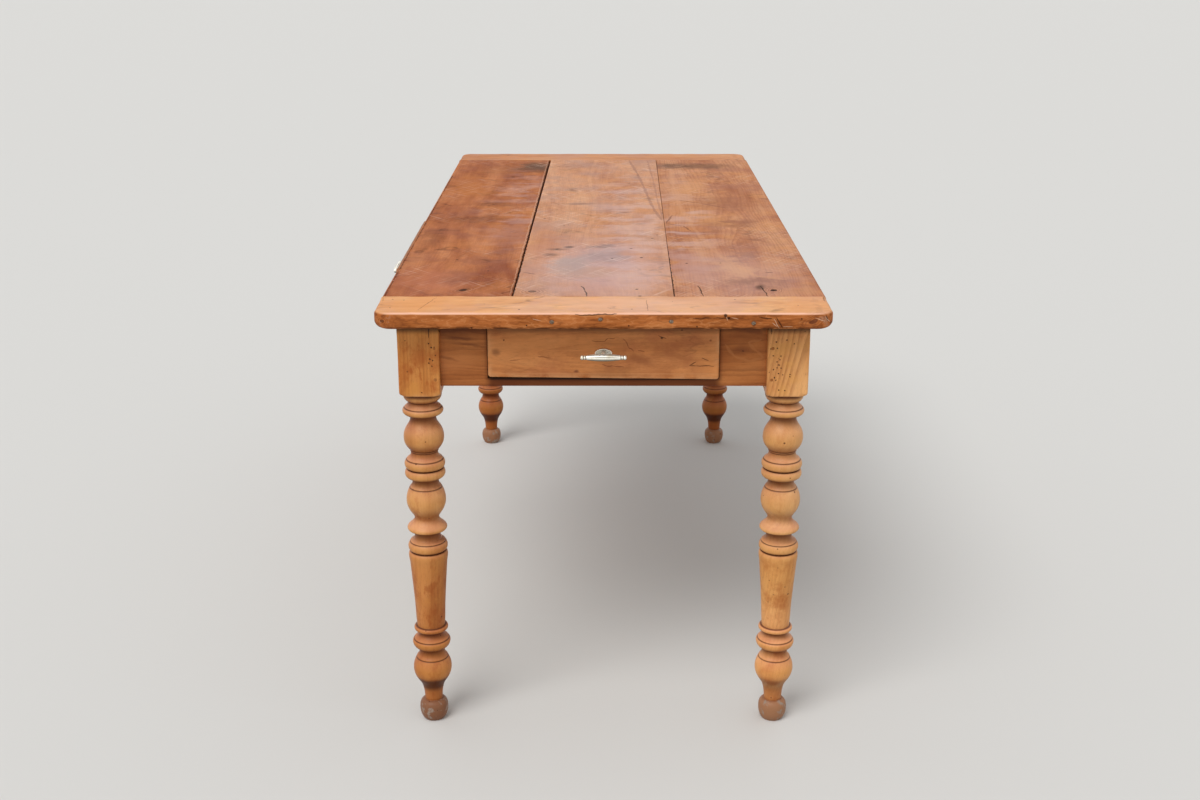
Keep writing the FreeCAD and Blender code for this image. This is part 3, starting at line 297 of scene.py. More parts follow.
# %% A finish that grows
class Finish:
    """One material in the making: its nodes, its colour so far and its height so far."""

    def __init__(self, name):
        self.material = bpy.data.materials.new(name)
        self.material.use_nodes = True
        self.material.node_tree.nodes.clear()
        self.bench = Bench(self.material.node_tree)
        self.place = self.bench.node("TexCoord")["Object"]
        self.axes = self.place.split()
        self.colour = None
        self.height = None

    def noise(self, scale, detail=2.0, rough=0.5, stretch=None, colour=False):
        place = self.place * stretch if stretch else self.place
        return self.bench.noise(place, scale, detail, rough, colour)

    def mask_of(self, name):
        """A mask that a mesh carries as an attribute of its points."""
        return self.bench.node("Attribute", attribute_name=name)["Fac"]

    def stain(self, mask, colour, blend="MIX"):
        self.colour = self.bench.mix(mask, self.colour, colour, blend)

    def shade(self, amount):
        """Darken by a share: colour times one less the amount."""
        self.colour = self.colour * (1 - amount)

    def sink(self, mask, depth):
        self.height = self.height - mask * depth

    def close(self, rough, relief, specular, metallic=0.0):
        """Shader and output: rough is a number or a wire, relief is the height's size in metres."""
        bump = None
        if self.height:
            bump = self.bench.node("Bump", {"Strength": 1.0, "Distance": relief, "Height": self.height})[0]
        shader = self.bench.node("BsdfPrincipled", {
            "Base Color": self.colour, "Roughness": rough, "Metallic": metallic,
            "Specular IOR Level": specular, "Normal": bump})[0]
        self.bench.node("OutputMaterial", shader)
        print(f"{self.material.name}: {len(self.bench.tree.nodes)} nodes")
        return self.material


print("a finish can be built")

# %% Timber and its marks
RIGHT_ANGLE = math.pi / 2
LEANING = 0.16
GRAIN_TURNS = {"top_x": (0, 0, 0), "top_y": (0, 0, RIGHT_ANGLE), "front_x": (RIGHT_ANGLE, 0, 0),
               "side_y": (RIGHT_ANGLE, 0, RIGHT_ANGLE), "leg_z": (-RIGHT_ANGLE, -RIGHT_ANGLE, 0),
               "leg_leaning": (-RIGHT_ANGLE, LEANING - RIGHT_ANGLE, 0)}
BLACK = (26, 16, 12)
WIDE_MARK = 29
TOP_RELIEF = 0.00025
SIDE_RELIEF = 0.0003


def table(text):
    """Rows of numbers from text: spaces part the numbers and semicolons part the rows."""
    return [[float(word) for word in row.split()] for row in text.split(";")]


class Timber(Finish):
    """A finish of wood: its grain, the marks on it, and wax."""

    def wood(self, run, centre, heart, ring, wander, seed, tones, line, shares):
        """Timber: heart is (side, depth, tilt), tones pale to deep, shares of ring, fibre and pore."""
        self.along = self.bench.node("Mapping", self.place, centre, GRAIN_TURNS[run],
                                     vector_type="TEXTURE")[0]
        grain = self.bench.group(GRAIN, vector=self.along, ring_width=ring, heart_side=heart[0],
                                 heart_depth=heart[1], heart_tilt=heart[2], wander=wander, seed=seed)
        cloud = grain["Tone"] * 0.35 + grain["Cloud"] - 0.175
        self.colour = self.bench.ramp(cloud, (0.33, *tones[0]), (0.5, *tones[1]), (0.68, *tones[2]))
        rings = grain["Ring"] * grain["Tone"].smooth(0.3, 0.62)
        self.stain(rings * shares[0], line)
        self.shade(grain["Fibre"] * (2 * shares[1]) - shares[1])
        self.shade(grain["Pore"] * shares[2])
        self.height = grain["Fibre"] * -0.5 + rings * -0.3

    def flat(self, across, up):
        """The two coordinates of the face that carries marks, roughened a little so that marks wander."""
        sheet = self.bench.node("CombineXYZ", self.axes[across], self.axes[up], 0.0)[0]
        return (sheet + (self.noise(70.0, colour=True) - 0.5) * 0.006) * (1, 1, 0)

    def ellipse(self, sheet, x, y, reach_x, reach_y, turn):
        """The blot group on an ellipse given in millimetres and degrees."""
        return self.bench.group(BLOT, vector=sheet, middle=(x / 1000, y / 1000, 0),
                                turn=math.radians(turn), reach=(reach_x / 1000, reach_y / 1000, 1.0))

    def blots(self, sheet, text):
        """Soft stains: each row is x, y, reach x, reach y, turn in degrees, red, green, blue, strength.
        Wide ones are laid on a bent copy of the sheet, so that their outlines break up."""
        bent = (sheet + (self.noise(15.0, 5.0, 0.7, colour=True) - 0.5) * 0.17) * (1, 1, 0)
        for *shape, red, green, blue, strength in table(text):
            mask = self.ellipse(bent if min(shape[2:4]) > WIDE_MARK else sheet, *shape)["Mask"]
            self.stain(mask * strength, (red, green, blue))

    def knots(self, sheet, text):
        """Knots: each row is x, y, reach x, reach y, turn, then the bytes of ring and core colours."""
        for row in table(text):
            knot = self.ellipse(sheet, *row[:5])
            self.stain(knot["Rings"] * 0.42, tuple(row[5:8]))
            self.stain(knot["Mask"].smooth(0.955, 1.0) * 0.7, tuple(row[8:]))

    def cut(self, nearness, colour, strength, depth):
        """Paint what is nearer than 1 dark, and sink it."""
        mask = (1 - nearness.smooth(0.45, 1.1)) * strength
        self.stain(mask, colour)
        self.sink(mask, depth)

    def cracks(self, sheet, width, colour, strength, depth, text):
        """Cut along paths, each row x, y, x, y and so on: the nearest of all their runs counts."""
        nearest = 9.0
        for row in table(text):
            path = [(x / 1000, y / 1000, 0) for x, y in zip(row[::2], row[1::2])]
            for first, last in zip(path, path[1:]):
                near = self.bench.group(LINE, vector=sheet, first=first, last=last, width=width)
                nearest = self.bench.math("MINIMUM", nearest, near["Nearness"])
        self.cut(nearest, colour, strength, depth)

    def holes(self, sheet, colour, strength, depth, text):
        """Cut spots, each row x, y, radius: the smallest distance over radius counts."""
        nearest = 9.0
        for x, y, radius in table(text):
            gap = sheet.measure("DISTANCE", (x / 1000, y / 1000, 0)) / (radius / 1000)
            nearest = self.bench.math("MINIMUM", nearest, gap)
        self.cut(nearest, colour, strength, depth)

    def worms(self, cells, share, radius, colour=(56, 30, 20), strength=0.8, depth=1.5):
        mask = self.bench.group(WORM, vector=self.place, cells=cells, share=share, radius=radius)["Mask"]
        self.stain(mask * strength, colour)
        self.sink(mask, depth)

    def under_top(self, amount=0.78):
        """Painted shadow in the last centimetre under the top, where its overhang shades what lies below.
        """
        self.stain(self.axes[2].smooth(0.7085, 0.7195) * amount, (44, 22, 14))

    def wear(self, colour, amount):
        worn = self.bench.group(WEAR, vector=self.place, edge=self.mask_of("edge"), amount=amount)
        self.stain(worn["Mask"], colour)

    def wax(self, base, relief, specular):
        """Close with the roughness of wax: base plus a fifth of a soft cloud."""
        return self.close((self.noise(9.0, 4.0, 0.6) - 0.5) * 0.2 + base, relief, specular)


print("timber can run", ", ".join(GRAIN_TURNS))

# %% [markdown]
# ## Shapes from whole arrays
# A surface is worked out as arrays of points and put into a mesh in one go. Two kinds of surface make
# nearly all of this table. A board is a flat plan with rounded corners, filled by a grid and carried
# down over soft arrises. A turning is an outline spun round an axis, as on a lathe.

# %% Random swells and mesh making
def unit(vectors):
    """Vectors over their own lengths."""
    return vectors / np.linalg.norm(vectors, axis=-1, keepdims=True)


def swell(points, pitch, seed, count=14):
    """A smooth random height, about -1 to 1: a sum of sine waves of about one pitch, any way round."""
    draw = np.random.default_rng(seed)
    ways = unit(draw.normal(size=(count, points.shape[1])))
    pitches = pitch * draw.uniform(0.6, 1.7, count)
    starts = draw.uniform(0, 2 * np.pi, count)
    waves = np.sin(points @ (ways / pitches[:, None] * 2 * np.pi).T + starts)
    return np.clip(waves.sum(axis=1) / np.sqrt(count) * 0.9, -1, 1)


def wear_down(points, amount, pitch, seed):
    """Sink each face by 0 to amount: the ninth power of the share from the middle out, times a swell."""
    low, high = points.min(axis=0), points.max(axis=0)
    middle, half = (low + high) / 2, (high - low) / 2
    share = ((points - middle) / half) ** 9
    return points - share * (amount * (0.5 + 0.5 * swell(points, pitch, seed)))[:, None]


def put_piece(name, shape, body, material, replaced):
    """Make a smooth mesh object of points, faces and masks, attach it to what it rides on, and hide the
    CAD node it replaces.
    """
    points, faces, masks = shape
    mesh = bpy.data.meshes.new(name)
    mesh.from_pydata(points.tolist(), [], faces)
    mesh.polygons.foreach_set("use_smooth", np.ones(len(mesh.polygons), bool))
    for label, values in masks.items():
        layer = mesh.attributes.new(label, "FLOAT", "POINT")
        layer.data.foreach_set("value", np.clip(values, 0, 1).astype(np.float32))
    mesh.materials.append(material)
    mesh.update()
    piece = bpy.data.objects.new(name, mesh)
    bpy.context.scene.collection.objects.link(piece)
    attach(piece, body)
    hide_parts(replaced)
    print(f"{name}: {len(mesh.vertices)} points, {len(mesh.polygons)} faces")


def stack(*parts):
    """Join shapes (points, faces, masks) into one: face numbers move up by the points that came before."""
    faces, start = [], 0
    for part_points, part_faces, _ in parts:
        faces += [[corner + start for corner in face] for face in part_faces]
        start += len(part_points)
    masks = {label: np.concatenate([part[2].get(label, np.zeros(len(part[0]))) for part in parts])
             for label in sorted({label for part in parts for label in part[2]})}
    return np.concatenate([part[0] for part in parts]), faces, masks


print("meshes can be made")

# %% The plan of a board
ARC_STEPS = 5


def outward(corners):
    """The outward direction of each side of a plan whose corners run anticlockwise."""
    along = unit(np.roll(corners, -1, axis=0) - corners)
    return np.column_stack((along[:, 1], -along[:, 0]))


def corner_turn(corners, radii, soft, k):
    """Points round corner k, how they move inwards, and their softness: one point if it is sharp."""
    before, after = outward(corners)[k - 1], outward(corners)[k]
    if radii[k] == 0:
        move = before * soft[k - 1] + after * soft[k]
        return corners[k][None], move[None], np.array([max(soft[k - 1], soft[k])])
    share = np.linspace(0, 1, 2 * ARC_STEPS + 1)[:, None]
    way = unit((1 - share) * before + share * after)
    middle = unit(before + after)
    centre = corners[k] - middle * radii[k] / (middle @ before)
    softness = (1 - share) * soft[k - 1] + share * soft[k]
    return centre + way * radii[k], way * softness, softness[:, 0]


def plan_side(corners, radii, soft, k, count):
    """Side k in count steps, from the middle of its first corner's arc to that of its last one's."""
    first = [part[len(part) // 2:] for part in corner_turn(corners, radii, soft, k)]
    last = [part[:len(part) // 2 + 1] for part in corner_turn(corners, radii, soft, (k + 1) % 4)]
    between = count + 1 - len(first[0]) - len(last[0])
    share = np.linspace(0, 1, between + 2)[1:-1, None]
    straight = ((1 - share) * first[0][-1] + share * last[0][0],
                np.tile(outward(corners)[k] * soft[k], (between, 1)), np.full(between, soft[k]))
    return [np.concatenate(parts) for parts in zip(first, straight, last)]


def coons(sides):
    """Fill four edge lines: near and far blended across, left and right along, less the corners."""
    near, right, far, left = sides[0], sides[1], sides[2][::-1], sides[3][::-1]
    u, v = (np.append(0, np.cumsum(np.linalg.norm(np.diff(side, axis=0), axis=1)))
            for side in (near, right))
    u, v = (u / u[-1])[None, :, None], (v / v[-1])[:, None, None]
    across = (1 - v) * near[None] + v * far[None]
    along = (1 - u) * left[:, None] + u * right[:, None]
    corners = (1 - v) * ((1 - u) * near[0] + u * near[-1]) + v * ((1 - u) * far[0] + u * far[-1])
    return across + along - corners


print("a plan can be filled")

# %% A board
def quarter(radius, steps=4):
    """A rounded arris: (inset, drop, wear) from the flat, where the inset is the radius, to the side."""
    turn = np.linspace(0, np.pi / 2, steps + 1)
    return np.column_stack((radius * (1 - np.sin(turn)), radius * (1 - np.cos(turn)),
                            0.45 + 0.55 * np.sin(2 * turn)))


def board(corners, radii, thick, counts, upper, lower, rows=2, soft=(1, 1, 1, 1), fade=0.006):
    """A board: a grid over the plan, rings down the upper arris, side and lower arris, and a grid below.
    The wear mask is highest on the arrises and fades into the faces."""
    corners = np.array(corners, float)
    sides = [plan_side(corners, radii, soft, k, counts[k % 2]) for k in range(4)]
    number = np.arange((counts[0] + 1) * (counts[1] + 1)).reshape(counts[1] + 1, counts[0] + 1)
    loop = np.concatenate((number[0, :-1], number[:-1, -1], number[-1, :0:-1], number[:0:-1, 0]))
    edge, move, softness = (np.concatenate([side[part][:-1] for side in sides]) for part in range(3))

    def sheet(inset, height):
        flat = coons([points - inset * moves for points, moves, _ in sides]).reshape(-1, 2)
        return np.column_stack((flat, np.full(len(flat), height)))

    above, under = quarter(upper), quarter(lower)[::-1]
    rings = [(inset, thick - drop * softness, wear) for inset, drop, wear in above[1:]]
    side_top, side_end = rings[-1][1], under[0][1] * softness
    for share in np.linspace(0, 1, rows + 1)[1:-1]:
        worn = 0.4 * math.exp(-min(share, 1 - share) * thick / fade)
        rings.append((0.0, (1 - share) * side_top + share * side_end, worn))
    rings += [(inset, rise * softness, wear) for inset, rise, wear in under[:-1]]
    top, bottom = sheet(upper, thick), sheet(lower, 0.0)
    distance = np.full(len(top), 1e9)
    for k in np.flatnonzero(np.array(soft) > 0.5):
        distance = np.minimum(distance, (corners[k] - top[:, :2]) @ outward(corners)[k])
    face_wear = 0.6 * np.exp(-np.clip(distance - upper, 0, None) / fade)
    points = [top, *(np.column_stack((edge - inset * move, height)) for inset, height, _ in rings), bottom]
    wears = [face_wear, *(wear * np.clip(softness * 1.2, 0, 1) for _, _, wear in rings), face_wear]
    count = len(top) + len(rings) * len(edge)
    starts = [loop, *np.arange(len(top), count).reshape(len(rings), -1), loop + count]
    grid = np.column_stack((number[:-1, :-1].ravel(), number[:-1, 1:].ravel(),
                            number[1:, 1:].ravel(), number[1:, :-1].ravel()))
    faces = grid.tolist() + (grid[:, ::-1] + count).tolist()
    for high, low in zip(starts, starts[1:]):
        faces += np.column_stack((high, low, np.roll(low, -1), np.roll(high, -1))).tolist()
    return np.concatenate(points), faces, {"edge": np.concatenate(wears)}


print("an arris has", len(quarter(0.004)), "steps")

# %% A turning
def turning(outline, sides, squash=1.0):
    """A closed turned shape: each outline point (radius, height) becomes a ring, x = radius * cos,
    y = squash * radius * sin, from a pole point on the axis to another."""
    outline = np.array(outline, float)
    radius, height = outline[1:-1].T[:, :, None]
    turn = np.arange(sides) * 2 * np.pi / sides
    rings = np.stack((radius * np.cos(turn), radius * np.sin(turn) * squash,
                      np.repeat(height, sides, axis=1)), axis=-1).reshape(-1, 3)
    poles = np.array([[0, 0, outline[0, 1]], [0, 0, outline[-1, 1]]])
    number = np.arange(len(rings)).reshape(-1, sides)
    low, high = number[:-1], number[1:]
    body = np.stack((low, np.roll(low, -1, axis=1), np.roll(high, -1, axis=1), high), axis=-1)
    first, last = len(rings), len(rings) + 1
    foot = np.column_stack((np.roll(number[0], -1), number[0], np.full(sides, first)))
    cap = np.column_stack((number[-1], np.roll(number[-1], -1), np.full(sides, last)))
    faces = body.reshape(-1, 4).tolist() + foot.tolist() + cap.tolist()
    return np.concatenate((rings, poles)), faces


def arc(start, middle, end, steps=8):
    """Points on the circle through three points, from just after start to end. As complex numbers a, b
    and c, with w = (c - a) / (b - a), the centre is a + (b - a)(w - |w|^2) / (2i times w's own i part)."""
    a, b, c = (complex(*point) for point in (start, middle, end))
    w = (c - a) / (b - a)
    centre = a + (b - a) * (w - abs(w) ** 2) / (2j * w.imag)
    turns = np.unwrap(np.angle(np.array((a, b, c)) - centre))
    turn = np.linspace(turns[0], turns[2], steps + 1)[1:]
    points = centre + abs(a - centre) * np.exp(1j * turn)
    return np.column_stack((points.real, points.imag)).tolist()


print("boards and turnings can be shaped")

# %% [markdown]
# ## The top boards
# The top is three wide boards, waxed and used for a long time. Each is a slice of its own tree, so each
# has its own heart line and colour: the left one redder with dark smoky patches, the middle one crossed
# by pale bands of painted sheen, the right one swirling beside its dark knots. Two joints run slightly
# askew, because the boards were sawn along the trunk's taper. One joint has opened and its arris has
# broken away in places.
# The boards are shaped first, with the hollows that a hand plane leaves.

# %% Shapes of the top boards
TOP = 0.760
UNDER = 0.732
BOARD_END = 0.7015
TOP_END = 0.8075
HALF_WIDTH = 0.3625
LEFT_JOINT = ((-0.1493, -0.1345), (-0.1477, -0.1305))
RIGHT_JOINT = ((0.11465, 0.1334), (0.11535, 0.1346))
CLOSED = 0.05
HOLLOW_PITCH = 0.075
HOLLOW_DEPTH = 0.00025


def plane_marks(points, seed):
    """Hollows across the grain, about 75 mm apart, that come and go, sunk into the upper face only."""
    high = np.clip((points[:, 2] - TOP + 0.006) / 0.006, 0, 1)
    wave = np.sin(2 * np.pi * (points[:, 1] / HOLLOW_PITCH + 0.25 * swell(points[:, :2], 0.4, seed)))
    share = 0.5 + 0.5 * swell(points[:, :2], 0.3, seed + 1)
    points[:, 2] -= HOLLOW_DEPTH * high * (1 + wave) / 2 * np.clip(share, 0, 1)


def break_arris(points, joint, side, first, last, depth, seed):
    """Chips along a joint's upper arris: points near it move away from the gap by a share of depth."""
    joint_x = np.interp(points[:, 1], (-BOARD_END, BOARD_END), joint)
    near_top = np.clip((points[:, 2] - TOP + 0.009) / 0.005, 0, 1)
    near_edge = np.clip(1 - np.abs(points[:, 0] - joint_x) / 0.004, 0, 1)
    span = np.clip((points[:, 1] - first) / 0.02, 0, 1) * np.clip((last - points[:, 1]) / 0.02, 0, 1)
    chip = depth * near_top * near_edge * span * np.clip(swell(points[:, 1:2], 0.02, seed) - 0.25, 0, 1)
    points[:, 0] += side * chip
    points[:, 2] -= 0.6 * chip


def top_board(left, right, soft, seed):
    """One board of the top from its two sides, each the x of its near and far end."""
    corners = [(left[0], -BOARD_END), (right[0], -BOARD_END), (right[1], BOARD_END), (left[1], BOARD_END)]
    shape = board(corners, (0, 0, 0, 0), TOP - UNDER, (56, 280), 0.004, 0.006, rows=4, soft=soft)
    shape[0][:, 2] += UNDER
    plane_marks(shape[0], seed)
    return shape


left_board = top_board([0.0015 - HALF_WIDTH] * 2, LEFT_JOINT[0], (CLOSED, 0.16, CLOSED, 1.0), 11)
middle_board = top_board(LEFT_JOINT[1], RIGHT_JOINT[0], (CLOSED, 0.12, CLOSED, 0.22), 12)
right_board = top_board(RIGHT_JOINT[1], [HALF_WIDTH] * 2, (CLOSED, 1.0, CLOSED, 0.12), 13)
break_arris(left_board[0], LEFT_JOINT[0], -1, -0.66, -0.28, 0.0035, 21)
break_arris(middle_board[0], LEFT_JOINT[1], 1, -0.69, -0.2, 0.0035, 22)
print("boards shaped:", len(left_board[0]), "points each")

# %% [markdown]
# The finish comes next. Cherry under old wax is a warm reddish brown that is darker where smoke and
# spills have got in. Each board takes its own tones, then its stains, from the widest cloud to the
# smallest dot, placed on the board's face.

# %% Years of use
def patina(finish, shift, warm, dull, share, veins, pits, stretch=(9.0, 5.0, 1.0)):
    """What use leaves: patches of two colours, a fine mottle, thin dark veins where a noise stretched
    along, across and into the grain crosses its middle value, and small pits."""
    noise = finish.bench.noise
    spot = finish.along + (shift, 0.7 * shift, 0.0)
    patch = noise(spot, 9.5, 5.0, 0.62)
    finish.stain(patch.smooth(0.5, 0.64) * share, warm)
    finish.stain(patch.smooth(0.5, 0.38) * share, dull)
    finish.shade(noise(spot * (0.4, 1.0, 1.0), 85.0, 3.0, 0.6) * 0.34 - 0.17)
    curve = noise(spot * stretch, detail=3.0, rough=0.55)
    vein = abs(curve - 0.5).smooth(0.02, 0.001) * noise(spot, 13.0, 1.0).smooth(0.52, 0.64)
    finish.stain(vein * veins, (62, 34, 26))
    finish.sink(vein, 0.6)
    finish.worms(40.0, pits, 0.0017, BLACK, 0.85, 2.0)


def scuffs(finish, pale, share):
    """Fine scratches from plates and pans: two noises stretched into threads, turned 35 degrees either
    way from the grain, and kept where a cloud allows."""
    where = finish.noise(6.0, 3.0).smooth(0.42, 0.62) * share
    for turn, start in ((0.6, 3.0), (-0.7, 8.0)):
        threads = (finish.place.turned(turn) + (start, 0.0, 0.0)) * (330.0, 13.0, 1.0)
        finish.stain(finish.bench.noise(threads, detail=1.0).smooth(0.60, 0.72) * where, pale)


def sheen_bands(finish, middle, reach, share):
    """Bands across the top, about 60 mm apart, like the sheen off a scraper's hollows: a pinkish painted
    reflection and orange between them, inside an ellipse."""
    bands = finish.noise(1.0, 4.0, 0.6, (9.0, 19.0, 1.0))
    where = finish.bench.group(BLOT, vector=finish.place, middle=middle, turn=0.0, reach=reach)["Mask"]
    # pinkish painted sheen on every other band, orange on the others
    finish.stain(bands.smooth(0.47, 0.62) * (where * share), (204, 171, 164))
    finish.stain(bands.smooth(0.49, 0.38) * (where * share), (196, 128, 78))


SCUFF = (222, 184, 160)
print("patina ready")

# %% Finish of the left board
left_top = Timber("left_board_wax")
left_top.wood("top_y", (-0.25, 0, TOP), (-0.03, 0.09, 0.02), 0.0044, 0.020, 3.0,
              ((192, 124, 82), (172, 104, 66), (144, 78, 48)), (112, 58, 38), (0.16, 0.2, 0.25))
patina(left_top, 3.0, (184, 114, 64), (140, 84, 66), 0.42, 0.42, 0.06)
sheen_bands(left_top, (-0.17, 0.1, TOP), (0.13, 0.7, 1.0), 0.28)
face = left_top.flat(0, 1)
left_top.blots(face, """
    -300 -600 100 160 0 182 112 84 0.6; -255 -565 55 70 20 112 68 60 0.32;
    -330 -243 30 120 6 108 62 40 0.34; -226 96 60 50 -10 100 60 44 0.4;
    -275 -63 70 45 35 96 56 42 0.42; -230 -39 50 50 15 96 54 38 0.4;
    -180 -200 50 140 0 176 124 106 0.5; -165 600 70 100 0 84 66 54 0.8;
    -240 550 90 120 0 150 98 66 0.35; -300 300 70 200 0 184 112 58 0.6;
    -344 -458 30 100 0 194 130 90 0.35; -232 -659 12 20 35 26 16 12 0.6""")
left_top.knots(face, "-232 -659 22 34 35 110 56 38 26 16 12")
scuffs(left_top, SCUFF, 0.3)
left_top.cracks(face, 0.0017, (206, 158, 128), 0.55, -0.3, "-152.5 -701.5  -137.7 701.5")
left_top.cracks(face, 0.0009, BLACK, 0.8, 3.0, "-149.5 -720  -134.7 720")
left_top.holes(face, BLACK, 0.85, 1.5, "-263 -433 2.6; -201 -520 2.4; -231 -662 5")
left_wax = left_top.wax(0.85, TOP_RELIEF, 0.08)

# %% Finish of the middle board
middle_top = Timber("middle_board_wax")
middle_top.wood("top_y", (0.0, 0, TOP), (-0.05, 0.07, -0.015), 0.0044, 0.022, 11.0,
                ((206, 150, 110), (194, 134, 94), (172, 108, 70)), (138, 82, 56), (0.16, 0.18, 0.2))
patina(middle_top, 7.0, (202, 138, 84), (170, 126, 108), 0.5, 0.34, 0.2)
face = middle_top.flat(0, 1)
# The first row, wide and pinkish grey over the near half, is a painted sheen.
middle_top.blots(face, """
    0 -500 180 360 0 197 161 157 0.68; -115 -330 50 300 0 186 120 84 0.5;
    -50 -460 50 120 12 150 138 134 0.5; 5 -400 50 90 -10 136 118 118 0.5;
    -10 -530 90 60 0 176 134 108 0.45; 7 -326 40 30 0 92 78 80 0.5; -96 -392 20 20 20 58 38 34 0.5;
    -64 -326 15 14 -25 58 38 34 0.75; -85 -345 30 14 0 58 38 34 0.5; -59 269 30 40 0 110 70 50 0.5;
    -50 107 45 16 0 120 76 52 0.6; -60 620 80 80 0 150 104 82 0.4; 95 620 60 120 0 160 118 100 0.4""")
sheen_bands(middle_top, (0.06, -0.05, TOP), (0.12, 0.95, 1.0), 0.42)
middle_top.knots(face, "-117 -669 30 30 30 120 60 42 60 30 24")
scuffs(middle_top, (226, 196, 180), 0.4)
middle_top.cracks(face, 0.0048, (136, 86, 68), 0.5, 0.6, "66 700  82 500  92 330  98 200  106 60  119 -70")
middle_top.cracks(face, 0.0032, (144, 92, 72), 0.42, 0.6, "112 690  117 420  118 180  122 -60")
middle_top.cracks(face, 0.0011, BLACK, 0.7, 2.0, "-147.6 -760  -143.2 -300; -147 -600  -145.5 -520")
middle_top.cracks(face, 0.0015, BLACK, 0.8, 2.0, "-38 -630  -30 -660  -27 -701; -139 -532  -118 -545")
middle_top.holes(face, BLACK, 0.9, 2.5, """
    105 -216 3; 94 -248 3.4; 123 5 3; 69 -415 4.2; 16 -424 3; 55 -654 3.4; 59 -700 3; 52 -339 3;
    -86 -344 3; -119 -54 3.2; -77 -127 2.4; -70 -118 2""")
middle_wax = middle_top.wax(0.42, TOP_RELIEF, 0.02)

# %% Finish of the right board
right_top = Timber("right_board_wax")
right_top.wood("top_y", (0.25, 0, TOP), (-0.01, 0.035, 0.02), 0.0058, 0.020, 23.0,
               ((200, 144, 106), (188, 128, 92), (162, 100, 68)), (130, 74, 54), (0.34, 0.18, 0.2))
patina(right_top, 17.0, (202, 140, 90), (160, 106, 86), 0.45, 0.3, 0.1)
sheen_bands(right_top, (0.16, -0.1, TOP), (0.10, 0.75, 1.0), 0.5)
face = right_top.flat(0, 1)
# The pinkish-grey rows at 155 -500 and 240 -540 are a painted sheen over the near part.
right_top.blots(face, """
    150 260 45 550 0 202 148 112 0.45; 250 120 120 120 0 146 90 64 0.5;
    200 300 50 200 10 208 150 104 0.5; 255 -100 90 60 -20 136 86 64 0.5;
    235 600 120 70 0 94 66 54 0.65; 160 620 60 60 0 84 60 50 0.6; 265 -411 40 80 15 128 88 76 0.5;
    235 -500 45 110 -10 220 166 118 0.6; 205 -80 50 100 15 206 146 96 0.45;
    180 -350 30 220 4 206 152 112 0.4; 155 -500 50 220 0 186 138 124 0.5;
    240 -540 160 300 0 190 150 142 0.4; 255 -600 70 50 0 136 98 86 0.55;
    262 -640 12 30 10 58 38 34 0.7""")
right_top.knots(face, "282 -659 22 30 0 118 66 48 26 16 12")
scuffs(right_top, SCUFF, 0.35)
right_top.cracks(face, 0.0026, (108, 66, 52), 0.6, 1.0, """
    126 -104  142 -20; 126 -104  160 -128  172 -180; 231 -80  262 -100; 165 150  205 115  265 59""")
right_top.cracks(face, 0.0085, (212, 158, 120), 0.24, 0.0, """
    166 560  160 340  162 100  180 -160  212 -400  262 -560  310 -585""")
right_top.cracks(face, 0.0015, BLACK, 0.8, 2.0, """
    263 -632  268 -701; 159 -630  163 -701.5; 282 -532  293 -532""")
right_top.cracks(face, 0.0015, BLACK, 0.85, 2.0, "115.2 -800  120 -200")
right_top.holes(face, BLACK, 0.85, 2.0, "149 -461 3; 208 -458 2.4; 281 -662 6")
right_wax = right_top.wax(0.65, TOP_RELIEF, 0.02)

put_piece("left_board", left_board, "table_frame", left_wax, "top_board_left")
put_piece("middle_board", middle_board, "table_frame", middle_wax, "top_board_centre")
put_piece("right_board", right_board, "table_frame", right_wax, "top_board_right")

# %% [markdown]
# ## The breadboard ends
# A board across each end keeps the top flat. Its two outer corners are well rounded, hands and hips have
# worn its arrises pale, with a painted highlight along the upper one, and its end edge holds four nails.
# The outline is a plan with two round corners, and small dents are pushed into the grid where the edge
# was knocked.

# %% Breadboard shapes
NAILS = ((-0.081, 0.7450), (-0.005, 0.7490), (0.106, 0.7455), (0.235, 0.7430))
DENTS = table("""191 756 5 2.2; 254 753.5 7 1.8; 338 750 9 1.4; -60 757.5 6 1.2; -300 756.5 7 1.2;
    60 757 6 1; 120 734 6 1.2; -210 734.5 6 1""")
NAIL_DENTS = [[1000 * x, 1000 * z, 5.5, 0.7] for x, z in NAILS]


def taken(radius, height):
    """How far an arris of radius r takes a side in, at h from its face: r - sqrt(r^2 - (r - h)^2)."""
    left = np.clip(radius - height, 0, None)
    return radius - np.sqrt(radius ** 2 - left ** 2)


def round_ends(points, upper=(0.0045, 0.0075), lower=(0.007, 0.0115), span=0.035):
    """Hands wear the two short ends rounder: each arris there grows from its first radius to its second,
    and the move fades out over span from the end; the upper one also fades towards the joint."""
    into = np.clip(1 - (HALF_WIDTH - np.abs(points[:, 0])) / span, 0, 1)
    down, rise = np.clip(TOP - points[:, 2], 0, None), np.clip(points[:, 2] - UNDER, 0, None)
    away = np.clip((np.abs(points[:, 1]) - BOARD_END) / 0.03, 0, 1)
    move = (taken(upper[1], down) - taken(upper[0], down)) * away
    move += taken(lower[1], rise) - taken(lower[0], rise)
    points[:, 0] -= np.sign(points[:, 0]) * move * into


